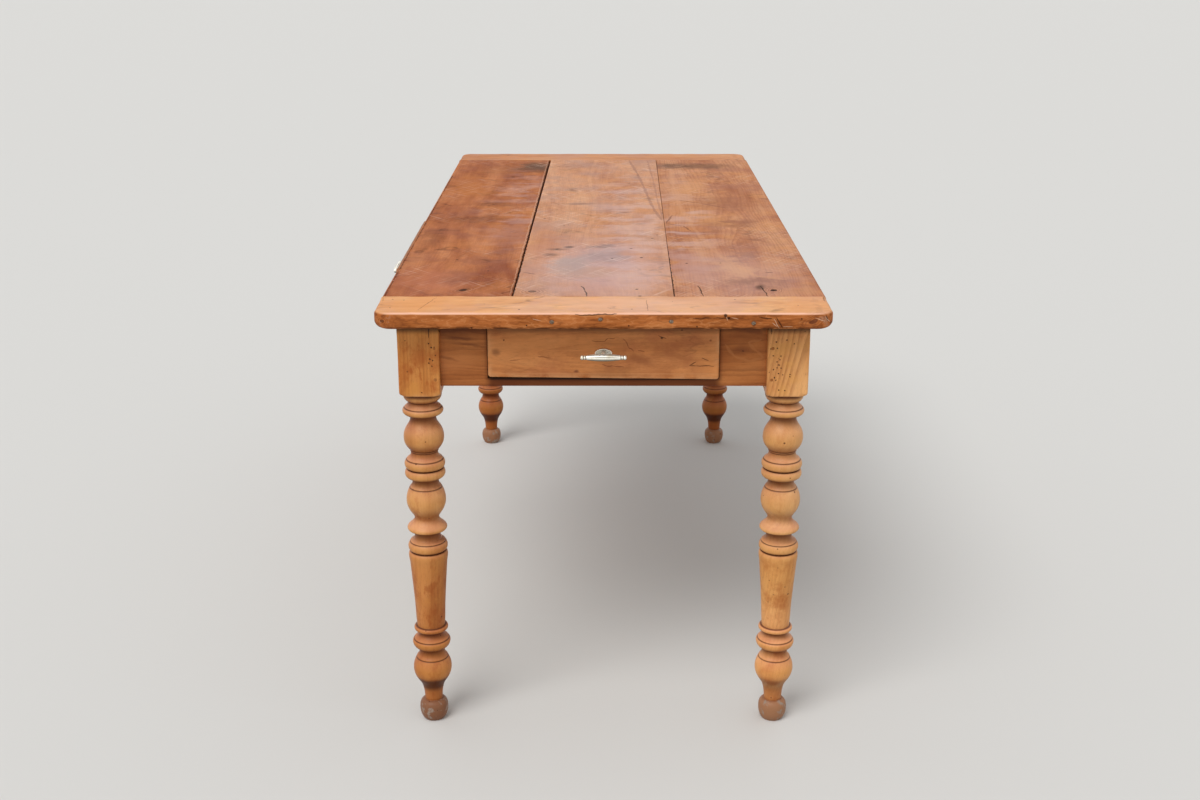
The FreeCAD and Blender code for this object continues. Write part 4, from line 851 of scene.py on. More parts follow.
def breadboard(seed, dents):
    """The near breadboard: a plan with outer corners of 27 mm, worn, with dents of x, z, reach, depth."""
    corners = [(-HALF_WIDTH, -TOP_END), (HALF_WIDTH, -TOP_END),
               (HALF_WIDTH, -BOARD_END), (-HALF_WIDTH, -BOARD_END)]
    points, faces, masks = board(corners, (0.027, 0.027, 0, 0), TOP - UNDER, (250, 36), 0.0045, 0.007,
                                 rows=9, soft=(1, 1, 0.12, 1))
    points[:, 2] += UNDER
    round_ends(points)
    points = wear_down(points, 0.0005, 0.05, seed)
    for x, z, reach, depth in np.array(dents) / 1000:
        away = ((points[:, 0] - x) / reach) ** 2 + ((points[:, 2] - z) / reach) ** 2
        near = np.clip((0.0125 - TOP_END - points[:, 1]) / 0.005, 0, 1)
        points[:, 1] += depth * np.exp(-away) * near
    return points, faces, masks


near_end = breadboard(31, DENTS + NAIL_DENTS)
far_end = breadboard(32, DENTS[3:] + NAIL_DENTS)
far_end[0][:, :2] *= -1
print("breadboards shaped")

# %% Colours of a breadboard's side
end_top = Timber("breadboard_wax")
end_top.wood("top_x", (0, -0.755, TOP), (0.01, 0.05, 0.03), 0.0046, 0.012, 31.0,
             ((232, 178, 126), (224, 164, 112), (204, 138, 86)), (176, 110, 66), (0.25, 0.12, 0.15))
across, _, height = end_top.axes
mix = end_top.bench.mix
swirl = end_top.noise(1.0, 4.0, 0.6, (9.0, 30.0, 60.0))
# The side's tones are deeper than the top's: partly the side's own colour, partly painted shade on a face
# that gets less light from above.
side = end_top.bench.ramp(swirl, (0.32, 202, 130, 76), (0.44, 180, 106, 56), (0.54, 164, 94, 46),
                          (0.68, 118, 62, 32))
curl = end_top.noise(1.0, 4.0, 0.6, (16.0, 16.0, 60.0)) * 9.0
curl = end_top.bench.math("PINGPONG", curl, 1.0)
side = mix(curl.smooth(0.45, 0.0) * 0.42, side, (98, 48, 24))
side = mix(curl.smooth(0.75, 1.0) * 0.32, side, (216, 148, 94))
# A dark band along the lower arris of the side: painted shadow.
side = mix(height.smooth(0.7385, 0.7335) * curl.smooth(1.1, 0.3) * 0.75, side, (56, 28, 16))
lumpy = end_top.bench.ramp(end_top.noise(62.0, 3.0, 0.6), (0.36, 98, 50, 26), (0.47, 150, 84, 44),
                           (0.56, 184, 108, 56), (0.68, 186, 132, 100))
side = mix(abs(across).smooth(0.300, 0.345) * 0.7, side, lumpy)
print("side coloured with", len(end_top.bench.tree.nodes), "nodes")

# %% Breadboard finish
patina(end_top, 23.0, (226, 158, 104), (206, 154, 128), 0.5, 0.4, 0.06, (5.0, 12.0, 1.0))
face = end_top.flat(0, 1)
front = end_top.flat(0, 2)
# The row at 60 -750, pinkish across the middle of the top, is a painted sheen.
end_top.blots(face, """
    -290 -750 130 100 0 222 150 88 0.6; 60 -750 260 100 0 224 176 152 0.5;
    330 -740 70 80 0 214 144 92 0.5""")
end_top.stain(height.smooth(0.7590, 0.7555), side)
end_top.stain(end_top.axes[1].smooth(0.0, 0.1), (225, 210, 200), "MULTIPLY")
# The upper arris is paler: partly worn, partly a painted highlight along it.
upper_arris = end_top.mask_of("edge") * height.smooth(0.7520, 0.7560)
pale = upper_arris.smooth(0.6, 0.98) * swirl.smooth(0.25, 0.45) * abs(across).smooth(0.360, 0.325)
end_top.stain(pale, (238, 186, 158))
end_top.knots(front, """
    -347 746 16 11 0 104 54 30 70 34 20; 328 746 30 14 -20 104 54 34 96 50 34""")
end_top.holes(face, BLACK, 0.8, 2.0, """
    -340 -722 1.6; -322 -725 1.8; -337 -776 1.6; -134 -786 2; 45 -783 1.8; 212 -722 2; -190 -750 1.2;
    310 -760 1.4; -270 -740 1.4; 110 -735 1.2""")
end_top.cracks(face, 0.0009, (120, 70, 44), 0.6, 1.5, """
    69 -725  70 -795; -292 -789  -272 -710; -49 -797  10 -795; 220 -725  236 -727""")
end_top.cracks(front, 0.0012, (60, 30, 18), 0.8, 2.0, """
    140 750  170 752  205 749; -45 756  20 757.5; 269 753  281 736; 348 755  352 744;
    243 752  262 750.5""")
end_top.cracks(front, 0.0006, (222, 184, 154), 0.7, 0.5, """
    266 750  276 734; 282 738  297 737; 330 752  346 745; -110 750  -98 748; 192.5 753  193.5 747;
    347 752  356 742; 264 744  272 738; 200 752  212 750""")
end_top.holes(front, BLACK, 0.85, 2.0, """
    191 754.5 3.6; 196 751.5 2.4; -207 735.5 2.2; 146 737 1.8; -120 740 1.6; 40 738.5 1.8; 310 750 1.8""")
end_top.holes(front, (72, 40, 26), 0.7, 1.0, "; ".join(f"{1000 * x} {1000 * z} 4.8" for x, z in NAILS))
end_wax = end_top.wax(0.5, TOP_RELIEF, 0.04)
put_piece("near_breadboard", near_end, "table_frame", end_wax, "breadboard_front")
put_piece("far_breadboard", far_end, "table_frame", end_wax, "breadboard_rear")

# %% [markdown]
# ## The turned legs
# Each leg is square where the aprons join it and turned below: balls, rings and coves over a long
# taper, a last ball and a small foot. On a lathe each of them is one sweep of the gouge, and a crisp
# line is left where two sweeps meet, so the outline is a table of sweeps with a smooth curve through
# each. Masks come from the same outline: hollows and the lines between sweeps keep dirt, crowns are
# rubbed bright, what looks up gets a painted highlight unless the shape above shelters it, and painted
# shade darkens what an overhang shelters.

# %% The sweeps of a leg, from the foot up
BLOCK_FOOT = 0.604
BLOCK_HALF = 0.034
LATHE_RADIUS = 0.035
LEG_AXES = {"leg_front_left": (-0.2985, -0.722), "leg_front_right": (0.2985, -0.722),
            "leg_rear_left": (-0.2985, 0.722), "leg_rear_right": (0.2985, 0.722)}
TURNED = [np.reshape(row, (-1, 2)) / 1000 for row in table("""
    0 17.6  3 19.8  7 21.9  12 23.6  18 24.5  24 24.6  29 24  33 22.4  36 19.6  37.4 17.2;
    37.6 15.6  38.2 14.4  39.2 15  42 15.5  48 15.8  55 16.6  61 17.8  67 19.5  72 21.9  77 25.2
    82 28.2  88 31  94 32.6  100 33.1  106 32.6  112 31  117 28.9  119.2 27.7;
    119.7 26.7  120.2 27  121 27.1  122.2 26.2  124.5 24.2  127.5 22.7  131 21.9  135 21.7
    137.6 22.4  139 24.6;
    139.4 26.2  141 28.6  144 31  148 32.5  151 32.8  153.3 32.2  155 31;
    155.5 29.8  156 30.1  156.8 29.8  158.3 27.9  160.5 24.7  163 22.3  166 20.9  169 20.5
    171.2 21.3  172.4 24;
    172.7 26.4  173.4 28.1  175.2 29.1  177.4 29.2  179.4 28.3  180.6 26.6;
    181 24.6  181.5 23.9  183.5 24.1  222 26.1  261 28.7  290 31  303 32  309 32.9  314 33.3
    317.5 32.9  319.8 31.9  320.9 30.6;
    321.5 29  322.1 28.4  322.7 29.2;
    323.5 30.8  325 32.2  328 33.3  331 33.5  334 32.9  336.6 31.7  338.1 30.6;
    338.6 29.6  339 29.9  339.8 29.7  340.8 27.8  342 25.2  343.6 23.2  346 22.2  350 21.9  354 22.1
    357 23.8  358.8 27;
    359.6 30.2  360.4 32  362 33.3  364 33.7  366 33.2  368.5 31.4  371 28.6  374 25.2  377 22.6
    380 21.1  383.5 21  387.5 22.6  392 25.6  397 28.8  403 31.4  409 32.9  415 33.3  421 32.8
    427 31.4  432.5 29.4  436.2 27.7;
    436.8 26.6  437.3 26.9  438.2 26.6  440 24.9  442.5 23.2  446 22.2  449.5 22.2  451.8 23.2
    453.2 25.4;
    453.9 27.4  455.5 30.4  458 32.7  461 33.8  464 33.8  467 33  469.2 31.7  470.2 30.2;
    470.7 28.9  471.1 28.5  471.6 29.2;
    472.1 30.6  473.8 32.4  477 33.6  480 33.9  483 33.3  485.4 32.1  486.6 31;
    487 30  487.5 30.3  488.4 29.8  490 27.4  492.2 24.9  495 23.4  498 22.7  500.6 22.5;
    500.9 22.5  501.5 23.4  502.3 23.7  503.1 23.4  503.6 22.8;
    504 23.4  507 26.3  511 29.2  516 31.9  521 33.3  526 33.7  531 33.4  536 32.4  541 30.4
    546 27.5  550 24.9  554 22.8  558 21.7  561.5 21.6  564.2 23  565.4 25.6;
    566 28  567.2 30.6  569.5 32.9  572.5 33.9  575 33.6  576.9 32.5  577.8 31.5;
    578.3 30.4  578.8 30.7  579.8 30  581.6 27.6  584 25.4  586.6 24.3  589 24.2;
    589.5 24.9  590.6 27  592.6 29.2  595.4 30.9  599 32  602.5 32.4""")]
JOINS = np.array([keys[0, 0] for keys in TURNED[1:]])
print(len(TURNED), "sweeps of the gouge")


def sweep(keys, step=0.0017):
    """A smooth curve through keys (height, radius), with slopes m from the neighbours: a stretch of
    length d is the cubic (2s3 - 3s2 + 1)a + (s3 - 2s2 + s)d ma + (3s2 - 2s3)b + (s3 - s2)d mb."""
    run = np.append(0, np.cumsum(np.linalg.norm(np.diff(keys, axis=0), axis=1)))
    slopes = np.gradient(keys, run, axis=0)
    stretch = np.diff(run)
    pieces = np.maximum(np.ceil(stretch / step).astype(int), 1)
    at = np.repeat(np.arange(len(pieces)), pieces)
    s = (np.arange(len(at)) - np.repeat(np.cumsum(pieces) - pieces, pieces)) / pieces[at]
    s, length = s[:, None], stretch[at][:, None]
    curve = ((2 * s ** 3 - 3 * s ** 2 + 1) * keys[at] + (s ** 3 - 2 * s ** 2 + s) * length * slopes[at]
             + (3 * s ** 2 - 2 * s ** 3) * keys[at + 1] + (s ** 3 - s ** 2) * length * slopes[at + 1])
    return np.vstack((curve, keys[-1]))


# %% Masks of a leg's outline
print("joins at", JOINS.round(3).tolist())
slide = np.lib.stride_tricks.sliding_window_view


def hollows(outline, reach=0.010, full=0.009, step=0.0004):
    """How deep each point lies in a hollow: the outline closed by a window (largest, then smallest, of
    the radii within reach) less the radius, as a share of full depth."""
    even = np.arange(-0.02, BLOCK_FOOT + 0.02, step)
    radius = np.interp(even, outline[:, 1], outline[:, 0])
    steps = round(reach / step)
    largest = slide(np.pad(radius, steps, mode="edge"), 2 * steps + 1).max(axis=1)
    closed = slide(np.pad(largest, steps, mode="edge"), 2 * steps + 1).min(axis=1)
    return np.interp(outline[:, 1], even, np.clip((closed - radius) / full, 0, 1))


def creases(outline, width=0.0008):
    """Dark lines where two sweeps meet: the largest of exp(-((height - join) / width)^2) at any join."""
    away = (outline[:, 1][:, None] - JOINS) / width
    return np.exp(-away ** 2).max(axis=1)


def facing_up(outline):
    """The upward part of the surface's direction: minus the step in radius over the step's length."""
    step = np.gradient(outline, axis=0)
    return np.clip(-step[:, 0] / np.hypot(step[:, 0], step[:, 1]), 0, 1)


def sheltered(outline, reach=26):
    """How much of the sky an overhang hides: the steepest line, arctan of (radius there - radius) over
    the rise, to the outline or the block within reach (millimetres) above, as a share of a right angle."""
    even = np.arange(0, BLOCK_FOOT, 0.001)
    radius = np.interp(even, outline[:, 1], outline[:, 0])
    above = slide(np.pad(radius, (0, reach), constant_values=BLOCK_HALF), reach + 1)[:, 1:]
    steepest = ((above - radius[:, None]) / (0.001 * np.arange(1, reach + 1))).max(axis=1)
    return np.interp(outline[:, 1], even, np.clip(np.arctan(steepest) / (np.pi / 2), 0, 1))


# %% Leg shapes
def leg(axis, seed, sides=80):
    """A turned part and a block over it, whose lower corners the lathe has rounded off to 35 mm from the
    axis; the turned part enters the block by two millimetres."""
    outline = np.vstack([sweep(keys) for keys in TURNED])[:, ::-1]
    hollow, shelter = hollows(outline), sheltered(outline)
    crown = np.clip((outline[:, 0] - 0.0285) / 0.004, 0, 1) * (1 - hollow)
    inside = BLOCK_FOOT + 0.002
    points, faces = turning(np.vstack(([0, 0.0], outline, [outline[-1, 0], inside], [0, inside])), sides)
    rings = {"hollow": (hollow, 0), "crease": (creases(outline), 0), "crown": (crown, 0),
             "upward": (facing_up(outline) * (1 - shelter), 0), "shelter": (shelter, 1)}
    masks = {label: np.append(np.repeat(np.append(values, last), sides), (0, 0))
             for label, (values, last) in rings.items()}
    points[:, :2] *= 1 - 0.010 * (0.5 + 0.5 * swell(points, 0.09, seed))[:, None]
    plan = BLOCK_HALF * np.array([(-1, -1), (1, -1), (1, 1), (-1, 1)])
    block, block_faces, block_masks = board(plan, (0.0034,) * 4, UNDER - BLOCK_FOOT, (24, 24), 0.0015,
                                            0.0032, rows=36, fade=0.003)
    block = wear_down(block, 0.0004, 0.04, seed + 1)
    rise = np.clip(block[:, 2] / 0.015, 0, 1)
    limit = LATHE_RADIUS + (0.0486 - LATHE_RADIUS) * np.sqrt(1 - (1 - rise) ** 2)
    block[:, :2] *= np.minimum(1, limit / np.maximum(np.hypot(*block[:, :2].T), 1e-6))[:, None]
    block[:, 2] += BLOCK_FOOT
    shape = stack((points, faces, masks), (block, block_faces, block_masks))
    shape[0][:, :2] += axis
    return shape


legs = {name: leg(axis, 40 + 3 * k) for k, (name, axis) in enumerate(LEG_AXES.items())}
print("leg points:", len(legs["leg_front_left"][0]))

# %% [markdown]
# A leg's grain runs up it. The heart line stands a little beside the leg, so straight lines run up the
# taper and curved ones appear on the balls. Each leg was cut from different stuff, and the right front
# one is paler and worm-eaten.

# %% Leg finish
GROOVE = (74, 32, 16)
WHITE = (255, 255, 255)


def leg_finish(name, heart, seed, tones, line, holes="", cracks="", run="leg_z", figure=0.08,
               block=WHITE, lower=(232, 212, 190), low_ball=WHITE, blotches=0.45, ankle_shade=0.85,
               foot_tone=(150, 108, 80)):
    """Wood by tones, blotches, redder coves, bright crowns, a painted highlight on what looks up, painted
    shade below overhangs and under the lowest ball, dirt in creases, stains by height down to the foot,
    painted shadow under the top, then worms, wear, and holes and cracks in the block."""
    finish = Timber("leg_wood" + name.removeprefix("leg"))
    stain, mask_of, height = finish.stain, finish.mask_of, finish.axes[2]
    on_block = height.smooth(0.600, 0.606)
    finish.wood(run, (*LEG_AXES[name], 0.35), heart, 0.0058, 0.010, seed, tones, line,
                (on_block * figure + 0.15, 0.14, 0.2))
    patch = finish.noise(22.0, 5.0, 0.62)
    stain(patch.smooth(0.5, 0.68) * 0.55, (166, 88, 42))
    stain(patch.smooth(0.46, 0.34) * 0.4, (210, 152, 84))
    blotch = finish.noise(70.0, 4.0, 0.65, (1.0, 1.0, 0.45))
    stain(blotch.smooth(0.53, 0.66) * blotches, (158, 78, 32))
    stain(mask_of("crown") * 0.35, (214, 154, 88))
    stain(mask_of("hollow") * 0.42, (160, 82, 38))
    # painted highlight on what looks up
    stain(mask_of("upward") * 0.6, (226, 160, 124))
    # painted shade below overhangs
    stain(mask_of("shelter").smooth(0.05, 0.75) * 0.85, (98, 46, 18))
    stain(mask_of("crease") * finish.noise(90.0, 3.0, 0.6).smooth(0.1, 0.4) * 0.92, GROOVE)
    stain(on_block, block, "MULTIPLY")
    stain(height.smooth(0.38, 0.28), lower, "MULTIPLY")
    stain(height.smooth(0.245, 0.195), low_ball, "MULTIPLY")
    stain(height.smooth(0.596, 0.603) * height.smooth(0.6068, 0.6048) * 0.75, GROOVE)
    # Painted shade under the lowest ball: reddish below 70 mm, and a dark band between 54 and 89 mm.
    stain(height.smooth(0.070, 0.058) * 0.6, (158, 88, 40))
    stain(height.smooth(0.089, 0.080) * height.smooth(0.054, 0.067) * ankle_shade, (68, 28, 10))
    foot = height.smooth(0.0385, 0.0370)
    stain(foot * 0.85, foot_tone)
    stain(foot * finish.noise(60.0, 4.0, 0.65).smooth(0.52, 0.66), (150, 132, 118))
    finish.under_top()
    finish.worms(75.0, 0.26, 0.0013, (84, 42, 22))
    finish.worms(45.0, 0.5, 0.0021, (84, 42, 22))
    finish.wear((222, 164, 108), 0.6)
    if holes:
        front = finish.flat(0, 2)
        finish.holes(front, (50, 26, 16), 0.9, 2.5, holes)
        finish.cracks(front, 0.0012, (56, 30, 18), 0.85, 2.5, cracks)
    return finish.wax(0.40, SIDE_RELIEF, 0.14)


# %% Finishes of the four legs
leg_finishes = {
    "leg_front_left": leg_finish(
        "leg_front_left", (0.03, 0.02, 0.02), 4.0,
        ((216, 156, 98), (196, 132, 76), (164, 98, 50)), (128, 70, 34), """
    -280 695 1.6; -277 689 1.5; -272 689 1.3; -271 675 1.4; -281 669 1.7; -276 667 1.4; -282 662 1.5;
    -277.5 658 1.4; -295 612 1.2""",
        "-280 730.5  -281 705", block=(255, 240, 208), foot_tone=(124, 86, 64)),
    "leg_front_right": leg_finish(
        "leg_front_right", (-0.02, 0.01, -0.03), 9.0,
        ((226, 172, 116), (208, 148, 92), (176, 112, 62)), (136, 80, 42), """
    278 698 1.5; 270 686 1.4; 280 687 1.6; 274 675 1.4; 280 665 1.5; 286 675 1.4; 285 669 1.3;
    284 660 1.6; 287 654 1.4; 276 652 1.5; 281 655 1.2; 283 644 1.5; 290 643 1.2; 302 644 1.3;
    302 640 1.4; 276 638 1.5; 279 634 1.4; 285 617 1.6; 295 616 1.3; 295 701 1.2; 307 695 1.2""",
        "268 730.5  269.5 712", run="leg_leaning", figure=0.42, block=(268, 264, 256),
        lower=(246, 232, 204), low_ball=(276, 284, 312), blotches=0.2, ankle_shade=0.3),
    "leg_rear_left": leg_finish(
        "leg_rear_left", (0.02, -0.03, 0.01), 14.0,
        ((182, 114, 62), (162, 94, 46), (136, 72, 32)), (108, 54, 26)),
    "leg_rear_right": leg_finish(
        "leg_rear_right", (-0.04, 0.02, -0.01), 19.0,
        ((178, 112, 60), (158, 92, 46), (132, 70, 32)), (106, 54, 26)),
}
for name, shape in legs.items():
    put_piece(name + "_turned", shape, "table_frame", leg_finishes[name], name)

# %% [markdown]
# ## Nails and pegs
# The nails in the end edges have flat oval heads, sunk a little and gone grey. Each tenon is held by two
# pegs, whose ends were pared off flush and now stand out a hair, because the block has shrunk. Both are
# small turnings, so one function makes a row of them at given places.

# %% Small turned heads
def facing(points, way):
    """Turn a shape made along +Z so that it points along -Y, +Y, -X or +X, without mirroring it."""
    x, y, z = points.T
    turned = {"-y": (x, -z, y), "+y": (-x, z, y), "-x": (-z, -x, y), "+x": (z, x, y)}[way]
    return np.column_stack(turned)


def heads(outline, spots, squash=1.0):
    """One turned head, its outline in tenths of a millimetre, at each spot (x, y, z, way)."""
    points, faces = turning(np.array(outline) / 10000, 20, squash)
    return stack(*[(facing(points, way) + (x, y, z), faces, {}) for x, y, z, way in spots])


NAIL_OUTLINE = [(0, -40), (30, -40), (36, -6), (33, -2), (24, 0), (12, 1), (0, 1)]
PEG_OUTLINE = [(0, -60), (29, -60), (29, -4), (26, -1), (14, 1), (0, 1)]
nail_spots = [(x, -0.8074, z, "-y") for x, z in NAILS] + [(-x, 0.8074, z, "+y") for x, z in NAILS]
peg_spots = []
for z in (0.634, 0.687):
    for side_x, way_x in ((-1, "-x"), (1, "+x")):
        for side_y, way_y in ((-1, "-y"), (1, "+y")):
            peg_spots.append((side_x * 0.2725, side_y * 0.756, z, way_y))
            peg_spots.append((side_x * 0.3325, side_y * 0.696, z, way_x))
print(len(nail_spots), "nails,", len(peg_spots), "pegs")

# %% Their finishes
iron = Finish("old_iron")
rust = iron.noise(420.0, 4.0, 0.7)
iron.colour = iron.bench.ramp(rust, (0.35, 156, 140, 122), (0.5, 118, 100, 84), (0.66, 92, 60, 42))
iron.height = rust
old_iron = iron.close(rust * 0.4 + 0.35, 0.0002, 0.5, metallic=0.55)
peg = Timber("peg_end")
peg.wood("leg_z", (0.0, 0.0, 0.0), (0.02, 0.02, 0), 0.0011, 0.002, 51.0,
         ((196, 132, 76), (180, 116, 62), (152, 92, 48)), (112, 64, 34), (0.4, 0.3, 0.3))
put_piece("nail_heads", heads(NAIL_OUTLINE, nail_spots, 0.8), "table_frame", old_iron,
          "breadboard_nails")
put_piece("peg_ends", heads(PEG_OUTLINE, peg_spots), "table_frame",
          peg.close(0.6, 0.0002, 0.1), "tenon_pegs")

# %% [markdown]
# ## Aprons
# The aprons stay as the CAD made them, straight boards let into the legs. Their grain is laid flat, and
# they are darker than the top because no one has scrubbed them. The short ones run along X and the long
# ones along Y, so the same steps are used with two turns of the grain.

# %% Apron finishes
def apron_wood(name, run, centre, heart, seed):
    """Timber of an apron, with its worm holes and painted shadow under the top."""
    finish = Timber(name)
    finish.wood(run, centre, heart, 0.0062, 0.030, seed,
                ((190, 120, 66), (174, 104, 54), (144, 78, 38)), (92, 44, 24), (0.36, 0.15, 0.2))
    finish.worms(45.0, 0.05, 0.0011)
    finish.under_top()
    return finish


near = apron_wood("near_apron_wood", "front_x", (0.0, -0.744, 0.68), (0.03, 0.05, 0.02), 61.0)
far = apron_wood("far_apron_wood", "front_x", (0.0, 0.744, 0.68), (-0.02, -0.06, 0.015), 67.0)
long = apron_wood("long_apron_wood", "side_y", (-0.32, 0.0, 0.68), (0.02, 0.07, 0.012), 71.0)
face = near.flat(0, 2)
near.blots(face, """
    -250 662 75 28 0 204 130 76 0.5; -235 716 100 22 0 88 42 22 0.62; -215 690 45 4 9 104 54 32 0.5;
    -255 668 30 4 14 112 60 36 0.45; -235 700 40 5 4 96 50 30 0.6; -250 712 30 4 -4 96 50 30 0.5;
    240 712 30 6 6 104 54 32 0.5; 222 681 28 12 -15 112 58 32 0.45""")
near.knots(face, "226 680 7 5 0 120 66 38 64 32 20")
near.cracks(face, 0.0030, (184, 116, 66), 0.5, 0.0, """
    197 690  212 670  238 663  259 668; 234 694  247 680  259 669; 234 694  254 699""")
# Painted shadow under the drawer front: the rail below it darker, and a near-black line along its top.
drawer_shadow_span = abs(near.axes[0]).smooth(0.196, 0.180)
near.stain(drawer_shadow_span * near.axes[2].smooth(0.639, 0.633) * 0.78, (82, 34, 14))
near.stain(drawer_shadow_span * near.axes[2].smooth(0.6285, 0.6325) * 0.85, (26, 12, 6))
near_apron, far_apron, long_apron = (finish.wax(0.5, SIDE_RELIEF, 0.12) for finish in (near, far, long))


def dress(material, names):
    """Give CAD nodes a finish through their material slots."""
    names = names.split()
    for name in names:
        mesh_slots = nodes[name].material_slots
        if not mesh_slots:
            nodes[name].data.materials.append(material)
        for mesh_slot in mesh_slots:
            mesh_slot.material = material
    print(material.name, "on", len(names), "nodes")


dress(near_apron, "apron_front")
dress(far_apron, "apron_rear")
dress(long_apron, "apron_left apron_right")

# %% [markdown]
# ## Inside parts
# The drawer boxes, runners, guides, rails, stops and buttons never see daylight. They are plain oak or
# poplar, dusty and paler than the outside.

# %% Inside finish
def inside_wood(name, run, seed):
    """Pale timber under patches of dust, which is also what makes it dull."""
    finish = Timber(name)
    finish.wood(run, (0.0, 0.0, 0.65), (0.05, 0.08, 0.01), 0.0032, 0.008, seed,
                ((206, 172, 126), (188, 150, 104), (160, 122, 80)), (134, 96, 62), (0.5, 0.25, 0.3))
    dust = finish.noise(14.0, 5.0, 0.65)
    finish.stain(dust.smooth(0.5, 0.7) * 0.35, (178, 162, 142))
    return finish.close(dust * 0.2 + 0.6, SIDE_RELIEF, 0.2)


dress(inside_wood("inside_wood_x", "front_x", 81.0), """
    cross_rail_front cross_rail_rear end_drawer_back end_drawer_bottom end_drawer_stops
    side_drawer_side_left side_drawer_side_right side_drawer_runner_front side_drawer_runner_rear
    top_buttons""")
dress(inside_wood("inside_wood_y", "side_y", 87.0), """
    end_drawer_side_left end_drawer_side_right end_drawer_guide_left end_drawer_guide_right
    end_drawer_runner_left end_drawer_runner_right side_drawer_back side_drawer_bottom
    side_drawer_stops""")
dress(old_iron, "button_screws end_drawer_handle_nut side_drawer_handle_nut")

# %% [markdown]
# ## Drawer fronts
# A drawer front is a single thick board with rounded arrises, worn pale along its edges. The near one is
# not quite square: its lower edge climbs to the left, and it shows a dark wedge of shadow below it. The
# same shape serves both drawers, turned to face the side for the second.

# %% Drawer front shapes
FRONT_THICK = 0.022
END_FACE = -0.756
SIDE_FACE = -0.3825
FRONT_MIDDLE = 0.68


def drawer_front(seed):
    """A standing board: plan x and height, thickness towards the viewer, as (across, height, out)."""
    half, top = 0.187, 0.729
    corners = [(-half, 0.6383), (half, 0.6343), (half, top), (-half, top)]
    points, faces, masks = board(corners, (0.0045,) * 4, FRONT_THICK, (130, 36), 0.004, 0.0012,
                                 rows=4, fade=0.0045)
    return wear_down(points, 0.0004, 0.05, seed).T, faces, masks


(across, up, out), faces, masks = drawer_front(91)
end_front = (np.column_stack((across, END_FACE + FRONT_THICK - out, up)), faces, masks)
(across, up, out), faces, masks = drawer_front(92)
side_low, side_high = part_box("side_drawer_front")
side_middle = (side_low.y + side_high.y) / 2
stretch = (side_high.y - side_low.y) / (across.max() - across.min())
side_front = (np.column_stack((SIDE_FACE + FRONT_THICK - out, side_middle - across * stretch, up)),
              faces, masks)
print("side front from", side_front[0].min(axis=0).round(4).tolist(), "to",
      side_front[0].max(axis=0).round(4).tolist())

# %% Drawer front finishes
def front_wood(name, run, centre, heart, seed):
    """Timber of a drawer front, with its patina, worn edges, painted shadow under the top and worm holes.
    """
    finish = Timber(name)
    finish.wood(run, centre, heart, 0.0066, 0.032, seed,
                ((212, 142, 86), (198, 127, 73), (168, 97, 53)), (116, 60, 32), (0.24, 0.18, 0.22))
    patina(finish, seed, (208, 134, 76), (166, 96, 60), 0.45, 0.22, 0.08, (8.0, 24.0, 1.0))
    finish.wear((212, 150, 100), 1.0)
    finish.under_top(0.55)
    finish.worms(45.0, 0.05, 0.001)
    return finish


end_wood = front_wood("end_drawer_wood", "front_x", (0.0, END_FACE, FRONT_MIDDLE),
                      (0.012, 0.05, 0.03), 94.0)
side_wood = front_wood("side_drawer_wood", "side_y", (SIDE_FACE, side_middle, FRONT_MIDDLE),
                       (-0.01, 0.045, 0.02), 97.0)
face = end_wood.flat(0, 2)
end_wood.blots(face, """
    100 665 90 35 8 140 72 42 0.32; 150 700 50 18 -10 150 78 46 0.25; -173 681 10 9 30 104 60 40 0.55;
    60 668 30 12 20 120 58 34 0.5; 172 700 4 3 0 100 50 30 0.7; -44 648 6 4 0 96 46 36 0.7""")
end_wood.cracks(face, 0.0009, (64, 30, 18), 0.7, 2.0, """
    139 659  150 658.5  178 657; 139 659  150 665; 159 672  170 667; 88 707.5  100 705""")
end_wood.cracks(face, 0.0010, (112, 56, 32), 0.6, 1.0, """
    -18 700  2 699  7 703  19 705.5; 32 704  36 699.5  40 690  49 682;
    -2 661  5 658  15.5 657  33 656; 56 684  66 682.5; -150 666  -135 669; -105 674  -85 671""")
end_wood.holes(face, BLACK, 0.7, 1.5, "-160 702 1.8; 93 705 2.2")
# A painted highlight along the lower lip, a pale line at 644.5 mm.
end_wood.cut(abs(end_wood.axes[2] - 0.6445) * 900.0, (206, 146, 96), 0.35, 0.0)
put_piece("end_drawer_face", end_front, "end_drawer",
          end_wood.wax(0.46, SIDE_RELIEF, 0.12), "end_drawer_front")
put_piece("side_drawer_face", side_front, "side_drawer",
          side_wood.wax(0.46, SIDE_RELIEF, 0.12), "side_drawer_front")

# %% [markdown]
# ## The pulls
# Each drawer has a small bar pull of pale, polished metal: a bar that swells like a barrel between two
# beaded tips, on a flared post, over an oval plate with a raised rim. All three are lathe work, the
# plate on an oval, and the metal is duller and browner where a cloth can't reach, and darker along
# the bar's underside as painted shade.

# %% Pull shapes
BAR_STANDS_OUT = 0.028
TIP = [(2.65, 27.5), (2.65, 28.4)] + arc((2.65, 28.4), (3.9, 29.6), (2.65, 31.0)) + [(2.65, 31.6)]
TIP += arc((2.65, 31.6), (3.9, 34.2), (1.6, 37.0))
BARREL = [(6.0, 0.0)] + arc((6.0, 0.0), (5.47, 13.5), (3.9, 27.0), 18) + [(3.9, 27.05)]


